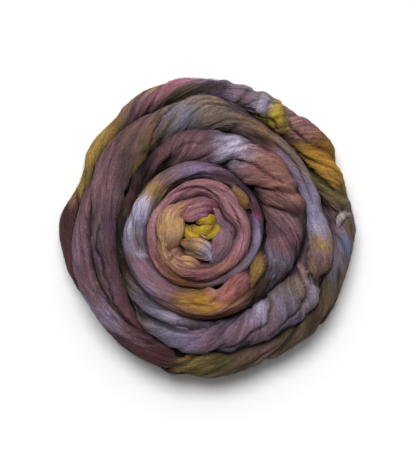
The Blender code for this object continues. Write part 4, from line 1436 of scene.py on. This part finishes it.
stains += [
    Stain(1899, 125.5, 14.4, 3.4, "pink"),
    Stain(1909, 120.7, 10.2, 3.4, "rose"),
    Stain(1908, 125.8, 11.9, 1.7, "tan"),
    Stain(1915, 126.6, 7.6, 1.7, "tan"),
    Stain(1901, 117.9, 11.9, 4.2, "olive brown"),
    Stain(1890, 119.8, 13.6, 5.1, "umber"),
    Stain(1890, 128.3, 11.9, 2.1, "pale lavender"),
    Stain(1903, 126, 10, 2.1, "pink"),
    Stain(1916, 118.6, 10.2, 5.1, "mauve"),
    Stain(1913, 118, 10, 4, "rose"),
    Stain(1919, 122.5, 9, 3, "tan"),
    Stain(1921, 114.7, 10.2, 4.2, "mauve brown"),
    Stain(1912, 112.1, 6.8, 3.4, "umber"),
    Stain(1924, 121.7, 12.8, 3, "old gold"),
    Stain(1932, 115, 10.2, 3.4, "old gold"),
    Stain(1944, 117.3, 12.8, 5.1, "old gold"),
    Stain(1940, 111.7, 10.2, 3.4, "old gold"),
    Stain(1950, 114.3, 10.2, 5.1, "old gold"),
    Stain(1956, 108.8, 10.2, 4.2, "olive gold"),
    Stain(1963, 113.2, 8.5, 3.4, "old gold"),
    Stain(1961, 101.9, 10.2, 3.4, "olive"),
    Stain(1968, 113.9, 6.8, 3.4, "tan brown"),
    Stain(1968, 103.5, 7.6, 4.2, "olive brown"),
    Stain(1975, 116.9, 10.2, 6.8, "maroon"),
    Stain(1980, 109.7, 13.6, 6.8, "maroon"),
    Stain(1989, 113.5, 13.6, 6.8, "maroon"),
    Stain(1998, 111.6, 11.9, 6.8, "maroon"),
    Stain(2005, 113.3, 6.8, 4.2, "deep maroon"),
    Stain(1883, 120.8, 11.9, 5.1, "umber"),
    Stain(1876, 121.6, 10.2, 5.1, "grey mauve"),
    Stain(1867, 128.4, 11.9, 2.5, "lavender"),
    Stain(1871, 126, 16, 3, "lavender"),
    Stain(1883, 127.5, 12, 2.5, "pale lavender"),
    Stain(1876, 128, 11.9, 2.1, "lavender"),
    Stain(1871, 112.6, 6, 3.4, "slate"),
    Stain(1866, 114.9, 5.1, 6, "pale lavender"),
    Stain(1863, 119.7, 3.4, 6.8, "grey mauve"),
    Stain(1859, 121.3, 4.2, 7.6, "yellow"),
    Stain(1857, 112.5, 4.2, 3.4, "bright yellow"),
    Stain(1851, 108.9, 5.1, 5.1, "yellow"),
    Stain(1858, 109.9, 2.5, 3.4, "dark olive"),
    Stain(1849, 126.6, 11.9, 6, "mauve rose"),
    Stain(1853, 126.1, 8.5, 3.4, "mauve"),
    Stain(1842, 122.8, 8.5, 6, "rose brown"),
    Stain(1838, 127.7, 5.1, 5.1, "amber"),
    Stain(1834, 131.1, 6, 6, "bright gold"),
    Stain(1834, 118.1, 8.5, 5.1, "amber"),
    Stain(1828, 119.4, 11.9, 5.1, "bright gold"),
    Stain(1841, 106.6, 8.5, 4.2, "gold"),
    Stain(1836, 108.3, 10.2, 4.2, "gold"),
    Stain(1821, 124.6, 8.5, 3.4, "bright gold"),
    Stain(1828, 105, 10.2, 4.2, "dark olive"),
    # Painted shadow in these two dark stains along the turn's inner edge, in the gap beside the second turn.
    Stain(1836, 102.5, 14, 4, "umber"),
    Stain(1826, 105, 14, 4, "umber"),
    Stain(1823, 113.8, 6.8, 4.2, "olive gold"),
    Stain(1819, 106.7, 6.8, 6, "taupe"),
    Stain(1812, 127, 11.9, 2.1, "gold"),
    Stain(1808, 109.9, 10.2, 7.6, "mauve brown"),
    Stain(1813, 105.4, 6.8, 4.2, "umber"),
    Stain(1803, 125.1, 8.5, 3.4, "olive"),
    Stain(1810, 118.4, 7.6, 3.4, "taupe"),
    Stain(1800, 125.5, 10, 3, "olive gold"),
    Stain(1795, 113.5, 8.5, 4.2, "grey mauve"),
    Stain(1793, 122.4, 7.6, 4.2, "blue"),
    Stain(1788, 113.9, 8.5, 5.1, "blue grey"),
    Stain(1780, 116.4, 7.6, 6, "slate"),
    Stain(1775, 109.5, 8.5, 6, "brown"),
    Stain(1779, 126, 11.9, 1.3, "tan brown"),
    Stain(1767, 119.3, 11.9, 6, "olive brown"),
    Stain(1767, 112.7, 10, 4, "umber"),
    Stain(1770, 126.1, 11.9, 2.1, "olive brown"),
    Stain(1755, 116.6, 13.6, 4.2, "olive brown"),
    Stain(1750, 120.6, 10.2, 3.4, "olive brown"),
    Stain(1760, 121.2, 10.2, 3.4, "umber"),
    Stain(1740, 110.1, 11.9, 5.1, "brown"),
    Stain(1731, 116, 11.9, 4.2, "olive brown"),
    Stain(1738, 116, 10.2, 3.4, "mauve brown"),
    Stain(1718, 115.8, 11.9, 3.4, "dark olive"),
    Stain(1713, 108.1, 10.2, 4.2, "olive gold"),
    Stain(1710, 105.4, 8.5, 4.2, "old gold"),
    Stain(1702, 107, 9, 3, "old gold"),
    Stain(1705, 116, 10.2, 3.4, "olive"),
    Stain(1719, 124.8, 18.7, 1.4, "taupe"),
    Stain(1710, 122.4, 8.5, 1.4, "taupe"),
    Stain(1734, 123.7, 13.6, 1.4, "taupe"),
    Stain(1744, 125.4, 10.2, 1.4, "tan brown"),
    Stain(1692, 113.7, 10.2, 4.2, "deep maroon"),
    Stain(1680, 107, 10.2, 3.4, "mauve brown"),
    Stain(1684, 113.3, 10.2, 2.5, "maroon"),
    # Painted shadow in a pocket at the turn's inner edge.
    Stain(1699, 104.7, 6, 2.5, "gap shadow"),
]
sheets += [
    Sheet(  # mauve sheet
        [(70.4, 105.3, 1, 5), (81.2, 93.8, 4, 9), (93.5, 83, 5, 10), (103.5, 76.8, 3, 7)],
        1,
        ["mauve", "rose", "mauve rose", "gold brown"],
    ),
    Sheet(  # olive fold
        [(83, 59, 1, 3), (95.5, 45.5, 4, 5), (108, 31.5, 5, 6), (118.1, 17.5, 3, 5)],
        1,
        ["dark olive", "olive", "olive gold", "olive brown"],
    ),
    Sheet(  # gold fold
        [(77, 76.5, 1, 4), (90.5, 65, 5, 5), (104, 51.5, 6, 6), (115.8, 37.5, 3, 5)],
        1,
        ["dark olive", "gold", "bright gold", "gold"],
    ),
    # upper gold crease
    hollow((72, 76.8, -0.5, 1), (87.4, 65, -3, 1.2), (105.8, 52.2, -2, 1), (114, 44, -0.5, 0.8)),
    # lower gold crease
    hollow((81.2, 67.6, -0.5, 1), (89, 55, -3, 1.2), (104, 40, -3, 1.2), (118, 26, -0.5, 1)),
    # olive crease
    hollow((108, -62, -0.5, 1), (103, -72, -3, 1.3), (89.7, -90.6, -3.5, 1.5), (65.1, -106, -0.5, 1)),
    Sheet(  # pale tuft
        [(34, 104, 1, 3), (40, 109, 4, 5), (48, 108, 5, 7), (53, 101, 4, 6), (50, 94, 1, 3)],
        1,
        ["mauve", "grey mauve", "lavender", "pale lavender", "grey mauve"],
    ),
    Sheet(  # yellow tuft
        [(60, 112, 1, 3), (62, 105, 3, 6), (62, 97, 5, 7), (66, 88, 4, 5), (70, 81, 1, 2)],
        1,
        ["olive gold", "yellow", "bright yellow", "yellow", "olive"],
    ),
    Sheet(  # yellow curl
        [(54, 98, 1, 2), (60, 99, 5, 4), (65, 95, 5, 3), (67, 88, 3, 2)],
        1,
        ["olive", "bright yellow", "bright yellow", "olive gold"],
    ),
    Sheet(  # pale wisp
        [(113.8, 2, 1, 1), (116, 8, 2.5, 3), (119, 12.5, 2.5, 3.5), (124, 13, 1.5, 1.2), (128, 13, 1, 1)],
        2,
        ["grey mauve", "cream", "cream", "pale lavender"],
    ),
]
lay_turn("outermost_turn", 1655, 2008)


# ---- The loose fibres ----
# Thin bundles of wool fibres that have worked loose from the strand. They follow its fibre lines, lift off at
# one end, and take the dye of the wool that they grow from, at a random tone, mostly paler as painted light
# that they catch. They are drawn a little thicker than real.
FIBRE_RINGS = 4
FIBRE_SIDES = 3
FIBRE_SPACING = 10.5  # square mm of the strand's surface to each
FIBRE_LENGTHS = (5.0, 20.0)  # mm
FIBRE_THICKNESS = (0.07, 0.17)  # mm, half of it
FIBRE_LIFT = 0.9  # mm, the usual height of the free end
FIBRE_ROOT = 0.05  # mm, the height of the other
FIBRE_SWERVE = (0.06, 0.05)  # how far it slants from the fibre lines, as a share of its length, and bends
# Painted light: the loose fibres' dye is this many times that of the wool under them, so mostly paler, as
# fibres that catch the light.
FIBRE_TONES = (0.8, 1.7)
FIBRES_AT_MOST = 6500  # in one piece
FIBRE_FACING = -0.1  # they grow where the surface faces this much upwards or more
FIBRE_SPREAD = 50.0  # mm of the wool's fine noise that they are shaded from
TABLE_CLEARANCE = 0.3  # mm that it keeps above the table

bm = bmesh.new()
ring = bmesh.ops.create_circle(bm, cap_ends=False, segments=FIBRE_SIDES, radius=1.0)["verts"]
edges = list({e for v in ring for e in v.link_edges})
for i in range(FIBRE_RINGS - 1):
    made = bmesh.ops.extrude_edge_only(bm, edges=edges)["geom"]
    edges = [g for g in made if isinstance(g, bmesh.types.BMEdge)]
    bmesh.ops.translate(bm, vec=(0, 0, 1), verts=[g for g in made if isinstance(g, bmesh.types.BMVert)])
bmesh.ops.holes_fill(bm, edges=[e for e in bm.edges if e.is_boundary], sides=0)
bmesh.ops.recalc_face_normals(bm, faces=bm.faces)
fibre = bpy.data.meshes.new("fibre")
bm.to_mesh(fibre)
bm.free()
spots = np.empty(len(fibre.vertices) * 3)
fibre.vertices.foreach_get("co", spots)
spots = spots.reshape(-1, 3)
ring_of = np.rint(spots[:, 2]).astype(int)  # the ring that each of a fibre's points is on
level = np.arange(FIBRE_RINGS) / (FIBRE_RINGS - 1)  # the share of the fibre's length that each ring is at
chance = np.random.default_rng(71)


def way_out(places):
    """(unit normals, outwards, areas in square mm) of a laid length's rows of points in mm."""
    normal = np.cross(np.gradient(places, axis=0), np.gradient(places, axis=1))
    area = np.linalg.norm(normal, axis=-1)
    normal = normal / np.maximum(area, 1e-9)[..., None]
    upper = (area > 0) & (places[..., 2] > np.median(places[..., 2]))
    return (-normal if normal[..., 2][upper].mean() < 0 else normal), area


def usual_step(places, axis):
    """The usual distance in mm from row to row or from column to column, along the crest."""
    apart = np.linalg.norm(np.gradient(places, axis=axis), axis=-1)
    return np.median(apart[:, places.shape[1] // 2])


def scatter_fibres(name, places, s, v, dye):
    """Grows loose fibres over one laid length, as one joined mesh."""
    places = places / MM
    normal, area = way_out(places)
    weight = (area * (normal[..., 2] > FIBRE_FACING)).ravel()
    count = min(FIBRES_AT_MOST, int(weight.sum() / FIBRE_SPACING) + 1)
    root = chance.choice(len(weight), count, p=weight / weight.sum())
    row, column = np.unravel_index(root, area.shape)

    # The line of each fibre over the rows and columns, along the fibre lines but for its own swerve.
    length = chance.uniform(*FIBRE_LENGTHS, count)[:, None]
    slant = chance.normal(0, FIBRE_SWERVE[0], count)[:, None]
    swerve = slant + chance.normal(0, FIBRE_SWERVE[1], count)[:, None] * level
    way = chance.choice((-1, 1), count)[:, None]
    rows = np.clip(row[:, None] + way * level * length / usual_step(places, 0), 0, len(s) - 1)
    drifted = v[rows.astype(int), column[:, None]] - v[row, column][:, None] - swerve * level * length
    columns = np.clip(column[:, None] + drifted / usual_step(places, 1), 0, area.shape[1] - 1.01)
    i, j = np.clip(rows.astype(int), 0, len(s) - 2), columns.astype(int)
    p, q = (rows - i)[..., None], (columns - j)[..., None]
    line = (places[i, j] * (1 - q) + places[i, j + 1] * q) * (1 - p)
    line = line + (places[i + 1, j] * (1 - q) + places[i + 1, j + 1] * q) * p
    lift = FIBRE_ROOT + np.abs(chance.normal(0, FIBRE_LIFT, count))[:, None] * level**2
    line = line + normal[i, j] * lift[..., None]

    # Its rings, set across the line and thinner at both ends.
    ahead = np.gradient(line, axis=1)
    ahead = ahead / np.maximum(np.linalg.norm(ahead, axis=-1), 1e-9)[..., None]
    aside = np.cross(ahead, normal[i, j])
    above = np.cross(aside, ahead)
    thick = chance.uniform(*FIBRE_THICKNESS, count)[:, None] * (1.02 - np.abs(2 * level - 1) ** 3)
    spread = aside[:, ring_of] * spots[:, 0][None, :, None] + above[:, ring_of] * spots[:, 1][None, :, None]
    done = line[:, ring_of] + spread * thick[:, ring_of][..., None]
    done[..., 2] = np.maximum(done[..., 2], TABLE_CLEARANCE)

    one = bpy.data.objects.new(name, fibre.copy())
    many = one.modifiers.new("many", "ARRAY")
    many.count = count
    many.use_relative_offset = False
    scene.collection.objects.link(one)
    mesh = bpy.data.meshes.new_from_object(one.evaluated_get(bpy.context.evaluated_depsgraph_get()))
    bpy.data.objects.remove(one)
    mesh.vertices.foreach_set("co", (done * MM).ravel())
    shades = np.clip(dye[row, column] * chance.uniform(*FIBRE_TONES, count)[:, None], 0, 1)
    shades = np.repeat(np.concatenate((shades, np.ones((count, 1))), axis=1), len(spots), axis=0)
    mesh.color_attributes.new("dye", "FLOAT_COLOR", "POINT").data.foreach_set("color", shades.ravel())
    layer = mesh.uv_layers.new(name="fibres")
    layer.data.foreach_set("uv", chance.uniform(0, FIBRE_SPREAD, len(mesh.loops) * 2))
    mesh.materials.clear()
    mesh.materials.append(wool)
    piece = bpy.data.objects.new(name, mesh)
    scene.collection.objects.link(piece)
    join_coil(piece)


for name, places, s, v, dye in laid:
    scatter_fibres(name + "_loose_fibres", places, s, v, dye)
